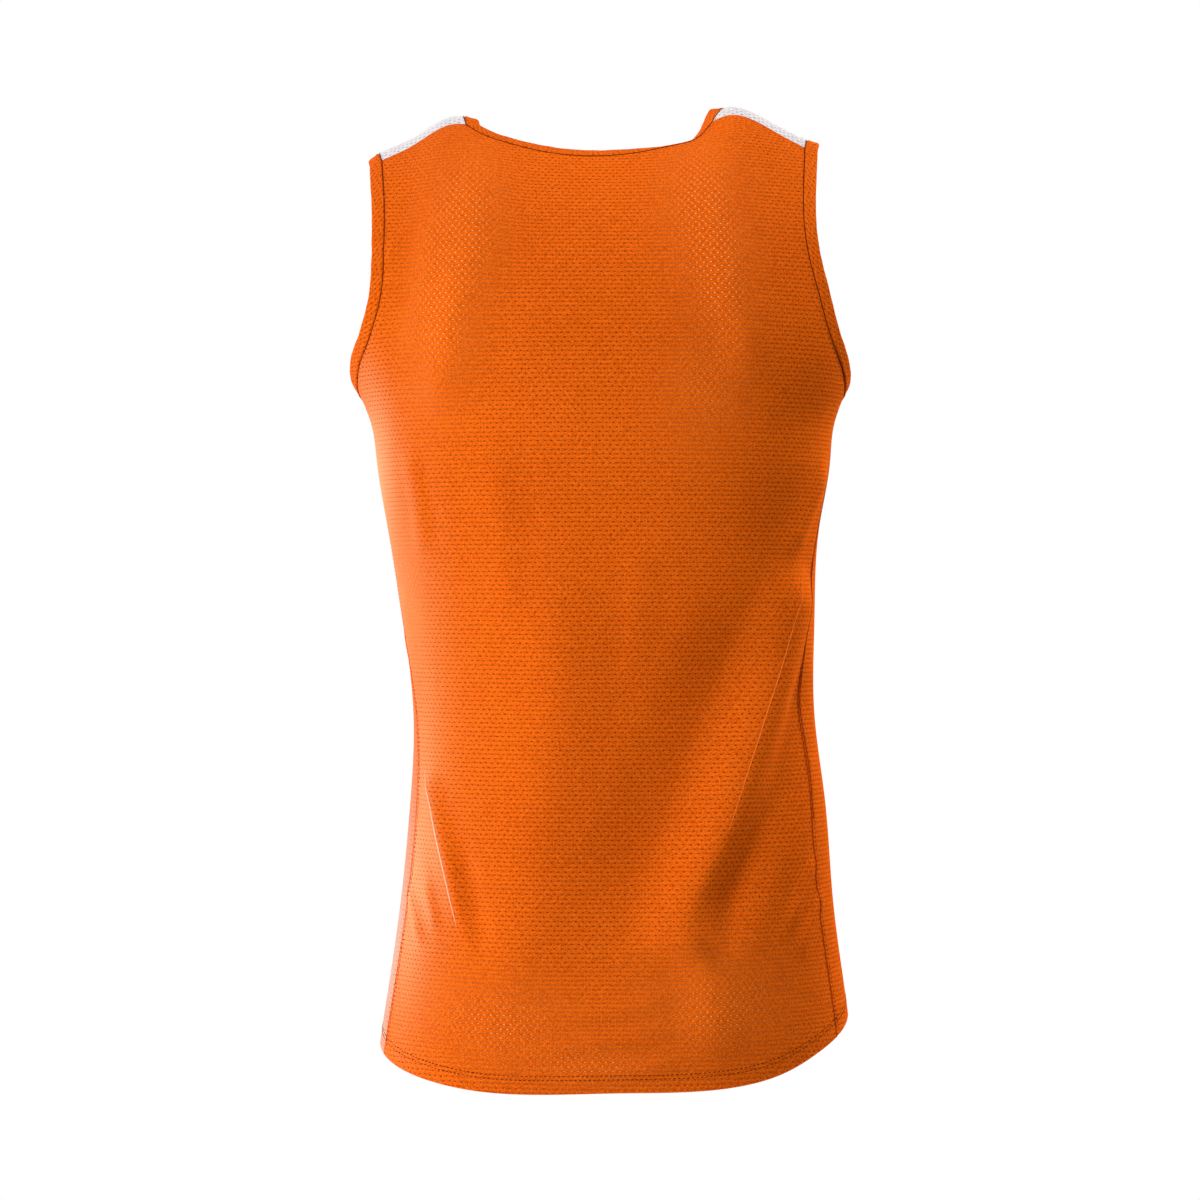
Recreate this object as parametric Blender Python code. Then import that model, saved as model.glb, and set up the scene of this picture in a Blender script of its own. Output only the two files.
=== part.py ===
"""A sleeveless basketball jersey in mesh cloth, filled out as if worn.

Metres, +Z up. The garment's back faces -Y and +X is to the right as seen from behind.
The origin lies between the shoulders, where a wearer carries the cloth.
Every wall lies on one skin of cloth: level sections round the trunk, closed over a
shoulder ridge, with the largest folds pushed in or out of it.
"""

import math
from collections import namedtuple

import bmesh
import bpy
import numpy as np

# Cloth and seams
WALL = 0.0018
SEAM_GAP = 0.0003
HEM_DEPTH = 0.013
HEM_STEP = 0.001
HEM_EXTRA = 0.0010

# Bindings round the neck and the armholes
NECK_BAND_WIDTH = 0.0115
ARMHOLE_BAND_WIDTH = 0.0102
BAND_THICKNESS = 0.0026

# The round fold along a binding's free edge, in half thicknesses: how far back from
# the edge and how far up each point lies
BAND_FOLD = ((1.0, -1.0), (0.3, -0.7), (0.0, 0.0), (0.3, 0.7), (1.0, 1.0))

# The skin of cloth
SECTION_ROUNDNESS = 2.3
SHOULDER_DROP = 0.170
UNDERARM_HEIGHT = -0.2035
BACK_YOKE_LAP = math.radians(19.3)
FRONT_YOKE_LAP = math.radians(31.0)

# Grid of each panel: columns over a shoulder, columns across the neck, and rows
STRAP_COLUMNS = 8
BACK_NECK_COLUMNS = 24
FRONT_NECK_COLUMNS = 14
TRUNK_ROWS = 25
CHEST_ROWS = 13
YOKE_ROWS = 7

# The front neckline, a scoop below the front yoke seams
FRONT_NECK_DROP = 0.088
FRONT_NECK_POWER = 2.2

ORANGE = (0.871, 0.141, 0.010, 1.0)
WHITE = (0.850, 0.806, 0.815, 1.0)
CLOTH_ROUGHNESS = 0.82
EDGE_ANGLE = math.radians(50.0)

# Level sections round the trunk: where the two side lines run and how deep the cloth
# lies behind and before them.
Section = namedtuple("Section", "height left right back front")
SECTIONS = (
    Section(-0.735, -0.1700, 0.1910, 0.1240, 0.1190),
    Section(-0.690, -0.1650, 0.1885, 0.1230, 0.1180),
    Section(-0.645, -0.1582, 0.1830, 0.1205, 0.1150),
    Section(-0.580, -0.1490, 0.1745, 0.1165, 0.1120),
    Section(-0.505, -0.1418, 0.1685, 0.1120, 0.1100),
    Section(-0.440, -0.1395, 0.1605, 0.1100, 0.1100),
    Section(-0.370, -0.1475, 0.1605, 0.1130, 0.1150),
    Section(-0.300, -0.1588, 0.1640, 0.1180, 0.1220),
    Section(-0.250, -0.1670, 0.1720, 0.1210, 0.1270),
    Section(-0.219, -0.1720, 0.1760, 0.1215, 0.1290),
    Section(-0.200, -0.1800, 0.1830, 0.1215, 0.1290),
    Section(-0.170, -0.1920, 0.1915, 0.1210, 0.1270),
    Section(-0.120, -0.1990, 0.1955, 0.1190, 0.1200),
    Section(-0.060, -0.2025, 0.1975, 0.1120, 0.1080),
    Section(0.030, -0.2040, 0.1980, 0.1000, 0.1000),
)

# The line along the top of the shoulders, falling to the middle where the neck is cut.
Ridge = namedtuple("Ridge", "across height")
RIDGE = (
    Ridge(-0.205, -0.0430),
    Ridge(-0.1644, -0.0178),
    Ridge(-0.140, -0.0068),
    Ridge(-0.1123, 0.0085),
    Ridge(-0.095, 0.0082),
    Ridge(-0.050, 0.0010),
    Ridge(0.000, -0.0030),
    Ridge(0.050, 0.0000),
    Ridge(0.075, 0.0060),
    Ridge(0.0958, 0.0158),
    Ridge(0.111, 0.0136),
    Ridge(0.1365, 0.0004),
    Ridge(0.1546, -0.0085),
    Ridge(0.200, -0.0330),
)

# The hem, round the trunk from the middle of the back: angle in degrees.
Hem = namedtuple("Hem", "angle height")
HEM = (
    Hem(-180, -0.700),
    Hem(-130, -0.697),
    Hem(-90, -0.685),
    Hem(-71, -0.6926),
    Hem(-61, -0.6981),
    Hem(-47, -0.7052),
    Hem(-30, -0.7110),
    Hem(0, -0.7100),
    Hem(25, -0.7080),
    Hem(41, -0.6990),
    Hem(52, -0.6878),
    Hem(69, -0.6735),
    Hem(90, -0.6635),
    Hem(130, -0.685),
    Hem(180, -0.700),
)

# The side seams: angle in degrees from the middle of the back.
SideSeam = namedtuple("SideSeam", "height left right")
SIDE_SEAMS = (
    SideSeam(-0.735, -73, 64),
    SideSeam(-0.600, -71, 63),
    SideSeam(-0.510, -70, 62),
    SideSeam(-0.440, -75, 65),
    SideSeam(-0.380, -84, 65),
    SideSeam(-0.320, -90, 74),
    SideSeam(-0.260, -91, 86),
    SideSeam(UNDERARM_HEIGHT, -90, 90),
)

# The armholes' edges behind and in front, above the underarm: across, in metres.
Armhole = namedtuple("Armhole", "height back_left back_right front")
ARMHOLES = (
    Armhole(-0.1990, -0.1800, 0.1822, 0.1790),
    Armhole(-0.1917, -0.1800, 0.1812, 0.1740),
    Armhole(-0.1805, -0.1775, 0.1776, 0.1660),
    Armhole(-0.1684, -0.1719, 0.1724, 0.1590),
    Armhole(-0.1559, -0.1670, 0.1676, 0.1530),
    Armhole(-0.1290, -0.1600, 0.1600, 0.1450),
    Armhole(-0.0980, -0.1585, 0.1522, 0.1415),
    Armhole(-0.0614, -0.1590, 0.1495, 0.1425),
    Armhole(-0.0200, -0.1625, 0.1520, 0.1490),
)

# Where each yoke lies across: at its back seam, on the ridge and at its front seam.
Yoke = namedtuple("Yoke", "neck_back neck_ridge neck_front arm_back arm_ridge arm_front")
YOKES = {
    "left": Yoke(-0.1000, -0.1033, -0.0985, -0.1625, -0.1644, -0.1520),
    "right": Yoke(0.0839, 0.0958, 0.0930, 0.1525, 0.1546, 0.1480),
}

# The back neckline between the yokes: height of the panel's top edge.
Neckline = namedtuple("Neckline", "across height")
BACK_NECKLINE = (
    Neckline(-0.0892, -0.0081),
    Neckline(-0.0742, -0.0146),
    Neckline(-0.0450, -0.0228),
    Neckline(-0.0080, -0.0269),
    Neckline(0.0300, -0.0235),
    Neckline(0.0600, -0.0168),
    Neckline(0.0750, -0.0100),
)

# How far each binding leans in, in degrees, by the part of the way round its loop. The
# neck's loop starts at the left yoke and runs behind the neck first. An armhole's
# starts under the arm and runs up behind it first.
Roll = namedtuple("Roll", "part lean")
NECK_ROLLS = (
    Roll(0.0, 12),
    Roll(0.22, 14),
    Roll(0.35, 26),
    Roll(0.43, 34),
    Roll(0.48, 4),
    Roll(0.53, -14),
    Roll(0.60, -4),
    Roll(0.73, 8),
    Roll(1.0, 12),
)
LEFT_ARMHOLE_ROLLS = (
    Roll(0.0, -4),
    Roll(0.30, -14),
    Roll(0.42, 4),
    Roll(0.48, 14),
    Roll(0.60, 0),
    Roll(1.0, -4),
)
RIGHT_ARMHOLE_ROLLS = (
    Roll(0.0, -4),
    Roll(0.30, -14),
    Roll(0.48, -8),
    Roll(0.60, 0),
    Roll(1.0, -4),
)

# The largest folds. Each runs through a few points of the cloth, given across and in
# height. It stands out by rise (or in, below zero) and fades out over its two widths,
# to its left and to its right as seen from outside with its start up, and over fade of
# its length at each end. The smaller soft is, the sharper is its crest.
Fold = namedtuple("Fold", "name face rise left right run fade soft")
FOLDS = (
    Fold("left blade", "back", 0.0064, 0.042, 0.045,
         ((-0.0847, -0.0090), (-0.0877, -0.0619), (-0.0944, -0.1074), (-0.1059, -0.1513),
          (-0.1126, -0.1946), (-0.1195, -0.2305)), 0.20, 0.2),
    Fold("right blade", "back", 0.0045, 0.028, 0.038,
         ((0.0750, -0.0089), (0.0789, -0.0620), (0.0886, -0.1076), (0.1030, -0.1550),
          (0.1134, -0.2091)), 0.22, 0.3),
    Fold("left middle ridge", "back", 0.0022, 0.030, 0.024,
         ((-0.0782, -0.2241), (-0.0732, -0.2820), (-0.0682, -0.3326),
          (-0.0639, -0.3834)), 0.28, 0.4),
    Fold("middle ridge", "back", 0.0074, 0.070, 0.070,
         ((-0.0390, -0.2677), (-0.0326, -0.3544), (-0.0290, -0.4124), (-0.0319, -0.4559),
          (-0.0384, -0.4994), (-0.0457, -0.5428), (-0.0521, -0.5862), (-0.0667, -0.6261),
          (-0.0753, -0.6946)), 0.20, 0.3),
    Fold("long trough", "back", -0.0080, 0.060, 0.036,
         ((0.1290, -0.3471), (0.0983, -0.4127), (0.0799, -0.4561), (0.0631, -0.4994),
          (0.0434, -0.5425), (0.0144, -0.6000)), 0.22, 2.5),
    Fold("long ridge", "back", 0.0100, 0.044, 0.034,
         ((0.1527, -0.3247), (0.1439, -0.3544), (0.1330, -0.3875), (0.1215, -0.4276),
          (0.1102, -0.4588), (0.1020, -0.4833), (0.0923, -0.5099), (0.0805, -0.5386),
          (0.0681, -0.5716), (0.0615, -0.6003), (0.0571, -0.6254)), 0.12, 1.6),
    Fold("side trough", "back", -0.0050, 0.028, 0.034,
         ((0.1530, -0.3915), (0.1472, -0.4284), (0.1399, -0.4597), (0.1335, -0.4842),
          (0.1242, -0.5108), (0.1107, -0.5394), (0.0936, -0.5685), (0.0855, -0.5935),
          (0.0811, -0.6186)), 0.15, 1.5),
    Fold("left crease", "back", 0.0042, 0.020, 0.020,
         ((-0.1289, -0.4766), (-0.1224, -0.5018), (-0.1160, -0.5270), (-0.1068, -0.5592),
          (-0.0961, -0.6056)), 0.20, 0.3),
    Fold("right hip ridge", "back", 0.0040, 0.035, 0.050,
         ((0.0753, -0.5717), (0.0811, -0.6294), (0.0838, -0.7013)), 0.28, 0.4),
    Fold("front left drape", "front", 0.0058, 0.046, 0.038,
         ((-0.0600, -0.1900), (-0.0520, -0.3600), (-0.0700, -0.5000),
          (-0.0920, -0.6100)), 0.24, 0.4),
    Fold("front right drape", "front", 0.0050, 0.036, 0.044,
         ((0.0660, -0.1800), (0.0520, -0.3300), (0.0600, -0.4700),
          (0.0880, -0.5800)), 0.26, 0.6),
    Fold("front middle ridge", "front", 0.0024, 0.026, 0.030,
         ((0.0060, -0.3300), (-0.0020, -0.4200), (0.0080, -0.5400)), 0.28, 0.5),
    Fold("front long trough", "front", -0.0070, 0.036, 0.052,
         ((-0.1280, -0.3500), (-0.0940, -0.4400), (-0.0640, -0.5100),
          (-0.0320, -0.5800)), 0.25, 2.0),
    Fold("front long ridge", "front", 0.0062, 0.030, 0.040,
         ((-0.1500, -0.3400), (-0.1300, -0.4200), (-0.1040, -0.5000),
          (-0.0720, -0.5900)), 0.20, 1.2),
    Fold("front hip crease", "front", 0.0038, 0.018, 0.020,
         ((0.1400, -0.4700), (0.1220, -0.5400), (0.1000, -0.6200)), 0.22, 0.4),
)
FOLD_STEPS = 24

# Metres of cloth to a radian, over the ridge and round the trunk at its seams, and
# half a seam's gap there
LAP_REACH = 0.11
TURN_REACH = 0.13
LAP_GAP = SEAM_GAP / 2 / LAP_REACH
SEAM_TURN = SEAM_GAP / 2 / TURN_REACH

# Small steps in metres and in radians for measuring how the skin slopes, the rounds in
# which a row of the trunk settles on its heights, and the least reach from its middle
NUDGE = 0.0002
SLIDE = 0.0005
SETTLING = 8
LEAST_REACH = 1e-9


def spline(places, values):
    """A smooth curve through the values at the places, without bend at its two ends."""
    places = np.asarray(places, float)
    values = np.asarray(values, float)
    steps = np.diff(places)
    grades = np.diff(values) / steps
    count = len(places)
    matrix = np.eye(count)
    wanted = np.zeros(count)
    for i in range(1, count - 1):
        matrix[i, i - 1:i + 2] = steps[i - 1], 2 * (steps[i - 1] + steps[i]), steps[i]
        wanted[i] = 6 * (grades[i] - grades[i - 1])
    bends = np.linalg.solve(matrix, wanted)

    def at(place):
        place = np.clip(place, places[0], places[-1])
        i = np.clip(np.searchsorted(places, place, side="right") - 1, 0, count - 2)
        far = (place - places[i]) / steps[i]
        near = 1 - far
        bend = (near ** 3 - near) * bends[i] + (far ** 3 - far) * bends[i + 1]
        return near * values[i] + far * values[i + 1] + bend * steps[i] ** 2 / 6

    return at


def column(table, name):
    """One named column of a table."""
    return [getattr(row, name) for row in table]


def curve(table, by, name):
    """A smooth curve of one column of a table by another."""
    return spline(column(table, by), column(table, name))


left_line = curve(SECTIONS, "height", "left")
right_line = curve(SECTIONS, "height", "right")
back_depth = curve(SECTIONS, "height", "back")
front_depth = curve(SECTIONS, "height", "front")
ridge_height = curve(RIDGE, "across", "height")
hem_height = curve(HEM, "angle", "height")
left_seam = curve(SIDE_SEAMS, "height", "left")
right_seam = curve(SIDE_SEAMS, "height", "right")


def rounding(turn):
    """How far out a rounded section of half width and depth 1 lies at a turn."""
    sides = np.abs(np.sin(turn)) ** SECTION_ROUNDNESS
    faces = np.abs(np.cos(turn)) ** SECTION_ROUNDNESS
    return (sides + faces) ** (-1 / SECTION_ROUNDNESS)


def breadth(height):
    """The middle and the half width of a level section."""
    left, right = left_line(height), right_line(height)
    return (left + right) / 2, (right - left) / 2


def skin(across, height, turn):
    """A point of the skin, where turn says how far round its level section it is.

    turn is the angle from the middle of the back, positive to the right. The depth
    closes to nothing at the shoulder ridge above the point.
    """
    depth = np.where(np.cos(turn) > 0, back_depth(height), front_depth(height))
    fall = np.clip((ridge_height(across) - height) / SHOULDER_DROP, 0, 1)
    closing = np.sqrt(1 - (1 - fall) ** 2)
    behind = depth * rounding(turn) * np.cos(turn) * closing
    return np.stack([across, -behind, height], axis=-1)


def trunk(turn, height):
    """A point of the skin by its turn round the trunk and its height."""
    middle, half = breadth(height)
    return skin(middle + half * rounding(turn) * np.sin(turn), height, turn)


def turn_at(across, height, face):
    """The turn at which a level section reaches a place across, behind or in front."""
    middle, half = breadth(height)
    reach = np.clip((across - middle) / half, -1, 1)
    size = np.maximum(np.abs(reach), LEAST_REACH)
    steep = np.maximum(size ** -SECTION_ROUNDNESS - 1, 0) ** (1 / SECTION_ROUNDNESS)
    sign = np.where(reach < 0, -1.0, 1.0)
    turn = sign * np.arctan2(1.0, steep)
    return turn if face == "back" else sign * math.pi - turn


def shoulder(across, lap):
    """A point of the skin by its place across and its lap over the shoulder ridge.

    lap is the angle from the ridge, below zero behind it and above zero in front.
    """
    height = ridge_height(across) - SHOULDER_DROP * (1 - np.cos(lap))
    behind = skin(across, height, turn_at(across, height, "back"))
    before = skin(across, height, turn_at(across, height, "front"))
    return np.where((lap < 0)[..., None], behind, before)


def fold_path(fold):
    """The fold's line on the skin, as points along a smooth curve through its run."""
    run = np.array(fold.run)
    part = np.linspace(0, 1, len(run))
    fine = np.linspace(0, 1, FOLD_STEPS)
    across = spline(part, run[:, 0])(fine)
    height = spline(part, run[:, 1])(fine)
    return skin(across, height, turn_at(across, height, fold.face))


FOLD_PATHS = [fold_path(fold) for fold in FOLDS]


def fold_push(points, normals):
    """How far the folds push each point of the skin out, in metres."""
    total = np.zeros(points.shape[:-1])
    for fold, path in zip(FOLDS, FOLD_PATHS):
        starts, runs = path[:-1], np.diff(path, axis=0)
        away = points[..., None, :] - starts
        along = np.clip((away * runs).sum(-1) / (runs ** 2).sum(-1), 0, 1)
        miss = away - along[..., None] * runs
        near = np.linalg.norm(miss, axis=-1).argmin(-1)
        gap = np.take_along_axis(miss, near[..., None, None], -2)[..., 0, :]
        part = np.take_along_axis(along, near[..., None], -1)[..., 0]
        side = (np.cross(runs[near], gap) * normals).sum(-1)
        width = np.where(side > 0, fold.right, fold.left)
        spread = np.clip(np.linalg.norm(gap, axis=-1) / width, 0, 1)
        bend = np.sqrt(spread ** 2 + fold.soft ** 2) - fold.soft
        down = 1 - bend / (math.sqrt(1 + fold.soft ** 2) - fold.soft)
        place = (near + part) / len(runs)
        fade = np.clip(np.minimum(place, 1 - place) / fold.fade, 0, 1)
        total += fold.rise * down ** 2 * fade * fade * (3 - 2 * fade)
    return total


def normal_of(first, second):
    """The unit normal across two directions in the skin."""
    across = np.cross(first, second)
    return across / np.linalg.norm(across, axis=-1, keepdims=True)


def bare_trunk_normal(turn, height):
    """The outward normal of the unfolded trunk."""
    over = trunk(turn + SLIDE, height) - trunk(turn - SLIDE, height)
    up = trunk(turn, height + NUDGE) - trunk(turn, height - NUDGE)
    return normal_of(over, up)


def folded_trunk(turn, height):
    """A point of the trunk with its folds."""
    points = trunk(turn, height)
    normals = bare_trunk_normal(turn, height)
    return points + fold_push(points, normals)[..., None] * normals


def trunk_normal(turn, height):
    """The outward normal of the folded trunk."""
    over = folded_trunk(turn + SLIDE, height) - folded_trunk(turn - SLIDE, height)
    up = folded_trunk(turn, height + NUDGE) - folded_trunk(turn, height - NUDGE)
    return normal_of(over, up)


def shoulder_normal(across, lap):
    """The outward normal over the shoulder."""
    over = shoulder(across + NUDGE, lap) - shoulder(across - NUDGE, lap)
    on = shoulder(across, lap + SLIDE) - shoulder(across, lap - SLIDE)
    return normal_of(over, on)


def drop_at(lap):
    """How far below the ridge a lap over the shoulder lies."""
    return SHOULDER_DROP * (1 - math.cos(lap))


def through(first, middle, last, part):
    """A value on the even curve through three values, at part of the way."""
    return (first * (1 - part) * (1 - 2 * part) + middle * 4 * part * (1 - part)
            + last * part * (2 * part - 1))


class Panel:
    """The back or the front: a grid of the skin from the hem to the yokes and neckline."""

    def __init__(self, face):
        self.face = face
        behind = face == "back"
        self.lap = (BACK_YOKE_LAP if behind else FRONT_YOKE_LAP) + LAP_GAP
        necks = BACK_NECK_COLUMNS if behind else FRONT_NECK_COLUMNS
        left, right = YOKES["left"], YOKES["right"]
        self.necks = ((left.neck_back, right.neck_back) if behind
                      else (left.neck_front, right.neck_front))
        self.arms = ((left.arm_back, right.arm_back) if behind
                     else (left.arm_front, right.arm_front))
        self.top_places = np.concatenate([
            np.linspace(self.arms[0], self.necks[0], STRAP_COLUMNS + 1),
            np.linspace(self.necks[0], self.necks[1], necks + 1)[1:],
            np.linspace(self.necks[1], self.arms[1], STRAP_COLUMNS + 1)[1:],
        ])
        self.neckline = self.neck_curve()
        tops = self.top_height(self.top_places)
        self.top_turns = self.unwound(turn_at(self.top_places, tops, face))
        first, last = self.top_turns[0], self.top_turns[-1]
        self.parts = (self.top_turns - first) / (last - first)
        self.arm_edges = [self.arm_curve(0, tops[0]), self.arm_curve(1, tops[-1])]

    def unwound(self, turns):
        """Turns that run on through the middle of the front, from left to right."""
        return turns if self.face == "back" else -((-turns) % (2 * math.pi))

    def corner(self, side):
        """Where the neckline meets the yoke seam: across and height."""
        return self.necks[side], float(ridge_height(self.necks[side])) - drop_at(self.lap)

    def neck_curve(self):
        """The neckline's height by its place across."""
        left, right = self.corner(0), self.corner(1)
        if self.face == "back":
            places = [left[0], *column(BACK_NECKLINE, "across"), right[0]]
            return spline(places, [left[1], *column(BACK_NECKLINE, "height"), right[1]])

        def scoop(across):
            part = (across - left[0]) / (right[0] - left[0])
            sides = left[1] + (right[1] - left[1]) * part
            return sides - FRONT_NECK_DROP * (1 - np.abs(2 * part - 1) ** FRONT_NECK_POWER)

        return scoop

    def top_height(self, across):
        """The height of the panel's top edge: yoke seams, with the neckline between."""
        seam = ridge_height(across) - drop_at(self.lap)
        neck = (across > self.necks[0]) & (across < self.necks[1])
        return np.where(neck, self.neckline(np.clip(across, *self.necks)), seam)

    def arm_curve(self, side, top):
        """The turn of an armhole's edge by the root of its climb above the underarm."""
        name = ("back_left", "back_right")[side] if self.face == "back" else "front"
        sign = 1 if self.face == "back" else (-1, 1)[side]
        rows = [row for row in ARMHOLES if row.height < top - HEM_DEPTH]
        heights = np.array(column(rows, "height") + [top])
        places = np.array([sign * getattr(row, name) for row in rows] + [self.arms[side]])
        turns = self.unwound(turn_at(places, heights, self.face))
        start = (-math.pi / 2, math.pi / 2 if self.face == "back" else -1.5 * math.pi)[side]
        climbs = np.sqrt(heights - UNDERARM_HEIGHT)
        return spline([0, *climbs], [start, *turns])

    def seams(self, height):
        """The turns of the two side seams at a height, less the gap between the panels."""
        left, right = np.radians(left_seam(height)), np.radians(right_seam(height))
        if self.face == "back":
            return left + SEAM_TURN, right - SEAM_TURN
        return left - SEAM_TURN, right - 2 * math.pi + SEAM_TURN

    def trunk_row(self, part):
        """Turns and heights of a row, at part of the way from the hem to the underarm."""
        height = np.full(len(self.parts), UNDERARM_HEIGHT)
        for _ in range(SETTLING):
            left, right = self.seams(height)
            turn = left + (right - left) * self.parts
            low = hem_height((np.degrees(turn) + 180) % 360 - 180)
            height = low + (UNDERARM_HEIGHT - low) * part
        return turn, height

    def chest_row(self, part):
        """Turns and heights of a row, at part of the way from the underarm to the top."""
        tops = self.top_height(self.top_places)
        ends = []
        for side, top in enumerate((tops[0], tops[-1])):
            ends.append(self.arm_edges[side](math.sqrt((top - UNDERARM_HEIGHT) * part)))
        turn = ends[0] + (ends[1] - ends[0]) * self.parts
        return turn, UNDERARM_HEIGHT + (tops - UNDERARM_HEIGHT) * part

    def grid(self):
        """The panel's turns, heights and hem flags, one row after another."""
        long = UNDERARM_HEIGHT - float(hem_height(0))
        low = [0.0, HEM_DEPTH / long, (HEM_DEPTH + HEM_STEP) / long]
        parts = low + list(np.linspace(low[-1], 1, TRUNK_ROWS)[1:])
        rows = [self.trunk_row(part) for part in parts]
        for i in range(1, CHEST_ROWS + 1):
            rows.append(self.chest_row((1 - math.cos(math.pi * i / CHEST_ROWS)) / 2))
        turns, heights = (np.array(part) for part in zip(*rows))
        hem = np.zeros(turns.shape)
        hem[:2] = HEM_EXTRA
        return turns, heights, hem


def yoke_grid(side):
    """Places across and laps of a yoke, rows from its back seam to its front seam."""
    yoke = YOKES[side]
    laps = np.linspace(LAP_GAP - BACK_YOKE_LAP, FRONT_YOKE_LAP - LAP_GAP, YOKE_ROWS + 1)
    part = (laps - laps[0]) / (laps[-1] - laps[0])
    neck = through(yoke.neck_back, yoke.neck_ridge, yoke.neck_front, part)
    arm = through(yoke.arm_back, yoke.arm_ridge, yoke.arm_front, part)
    columns = np.linspace(0, 1, STRAP_COLUMNS + 1)
    across = neck[:, None] + (arm - neck)[:, None] * columns
    return across, np.repeat(laps[:, None], STRAP_COLUMNS + 1, axis=1)


def solid(name, points, faces, colour, corner):
    """Make one closed object with its own material."""
    mesh = bpy.data.meshes.new(name)
    mesh.from_pydata([tuple(point) for point in points], [], faces)
    work = bmesh.new()
    work.from_mesh(mesh)
    bmesh.ops.recalc_face_normals(work, faces=work.faces)
    work.to_mesh(mesh)
    work.free()
    mesh.shade_smooth()
    mesh.set_sharp_from_angle(angle=corner)
    material = bpy.data.materials.new(name)
    material.use_nodes = True
    shader = material.node_tree.nodes["Principled BSDF"]
    shader.inputs["Base Color"].default_value = colour
    shader.inputs["Roughness"].default_value = CLOTH_ROUGHNESS
    shader.inputs["Metallic"].default_value = 0.0
    mesh.materials.append(material)
    thing = bpy.data.objects.new(name, mesh)
    bpy.context.collection.objects.link(thing)
    return thing


def sheet_wall(name, points, normals, colour, extra=0.0):
    """A wall round a grid of points, half its thickness each way along the normals."""
    rows, columns = points.shape[:2]
    outer = points + normals * WALL / 2
    inner = points - normals * (WALL / 2 + np.asarray(extra))[..., None]
    places = np.arange(rows * columns).reshape(rows, columns)
    under = places + rows * columns
    faces = []
    for skin_places in (places, under):
        a, b = skin_places[:-1, :-1], skin_places[:-1, 1:]
        c, d = skin_places[1:, 1:], skin_places[1:, :-1]
        faces += np.stack([a, b, c, d], axis=-1).reshape(-1, 4).tolist()
    rim = np.concatenate([places[0, :-1], places[:-1, -1], places[-1, :0:-1],
                          places[:0:-1, 0]])
    low = rim + rows * columns
    faces += np.stack([rim, np.roll(rim, -1), np.roll(low, -1), low], axis=-1).tolist()
    both = np.concatenate([outer.reshape(-1, 3), inner.reshape(-1, 3)])
    return solid(name, both, faces, colour, EDGE_ANGLE)


def edge_loop(stretches):
    """Join edge stretches end to end into one loop, with one point at each seam."""
    loop = []
    for i, stretch in enumerate(stretches):
        before = stretches[i - 1][-1]
        loop.append((before + stretch[0]) / 2)
        loop += list(stretch[1:-1])
    return np.array(loop)


def band(name, points, normals, width, rolls, sign):
    """A folded binding that stands out from an edge loop, into the opening.

    sign is 1 where the opening lies to the left of the loop's way, seen from outside,
    and -1 where it lies to the right.
    """
    tangents = np.roll(points, -1, axis=0) - np.roll(points, 1, axis=0)
    outward = sign * normal_of(normals, tangents)
    lean = curve(rolls, "part", "lean")(np.arange(len(points)) / len(points))
    lean = np.radians(lean)[:, None]
    leaning = outward * np.cos(lean) - normals * np.sin(lean)
    upright = normals * np.cos(lean) + outward * np.sin(lean)
    half = BAND_THICKNESS / 2
    rings = [points + outward * SEAM_GAP - normals * half]
    for back, up in BAND_FOLD:
        rings.append(points + leaning * (width - back * half) + upright * up * half)
    rings.append(points + outward * SEAM_GAP + normals * half)
    sides, count = len(rings), len(points)
    vertices = np.stack(rings, axis=1).reshape(-1, 3)
    faces = []
    for i in range(count):
        for j in range(sides):
            here, there = i * sides, (i + 1) % count * sides
            k = (j + 1) % sides
            faces.append((here + j, here + k, there + k, there + j))
    return solid(name, vertices, faces, ORANGE, EDGE_ANGLE)


def main():
    """Build the seven pieces of the jersey."""
    for thing in list(bpy.data.objects):
        bpy.data.objects.remove(thing, do_unlink=True)

    edges = {}
    for face in ("back", "front"):
        turns, heights, extra = Panel(face).grid()
        points, normals = folded_trunk(turns, heights), trunk_normal(turns, heights)
        sheet_wall(face + "_panel", points, normals, ORANGE, extra)
        edges[face] = points, normals

    yokes = {}
    for side in YOKES:
        across, laps = yoke_grid(side)
        points, normals = shoulder(across, laps), shoulder_normal(across, laps)
        sheet_wall(side + "_yoke", points, normals, WHITE)
        yokes[side] = points, normals

    first, last = STRAP_COLUMNS, -STRAP_COLUMNS - 1
    start = TRUNK_ROWS + 1
    necks, lefts, rights = [], [], []
    for kind in range(2):
        back, front = edges["back"][kind], edges["front"][kind]
        left, right = yokes["left"][kind], yokes["right"][kind]
        necks.append(edge_loop([back[-1, first:len(back[-1]) + last + 1], right[:, 0],
                                front[-1, first:len(front[-1]) + last + 1][::-1],
                                left[::-1, 0]]))
        lefts.append(edge_loop([back[start:, 0], left[:, -1], front[start:, 0][::-1]]))
        rights.append(edge_loop([back[start:, -1], right[:, -1], front[start:, -1][::-1]]))
    band("neck_band", *necks, NECK_BAND_WIDTH, NECK_ROLLS, 1)
    band("left_armhole_band", *lefts, ARMHOLE_BAND_WIDTH, LEFT_ARMHOLE_ROLLS, 1)
    band("right_armhole_band", *rights, ARMHOLE_BAND_WIDTH, RIGHT_ARMHOLE_ROLLS, -1)


main()
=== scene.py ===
"""The looks of a sleeveless mesh basketball jersey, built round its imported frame.

Metres, +Z up. The garment's back faces -Y and +X is to the right as seen from behind.
Each cloth piece is a thin closed shell on the form of its CAD solid. The mesh's holes
are sunk into its outer side, and bindings, seams and stitches lie on the same skin.
"""

import logging
import math
from dataclasses import dataclass, field, replace
from enum import Enum
from typing import Callable, NamedTuple, Sequence

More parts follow.
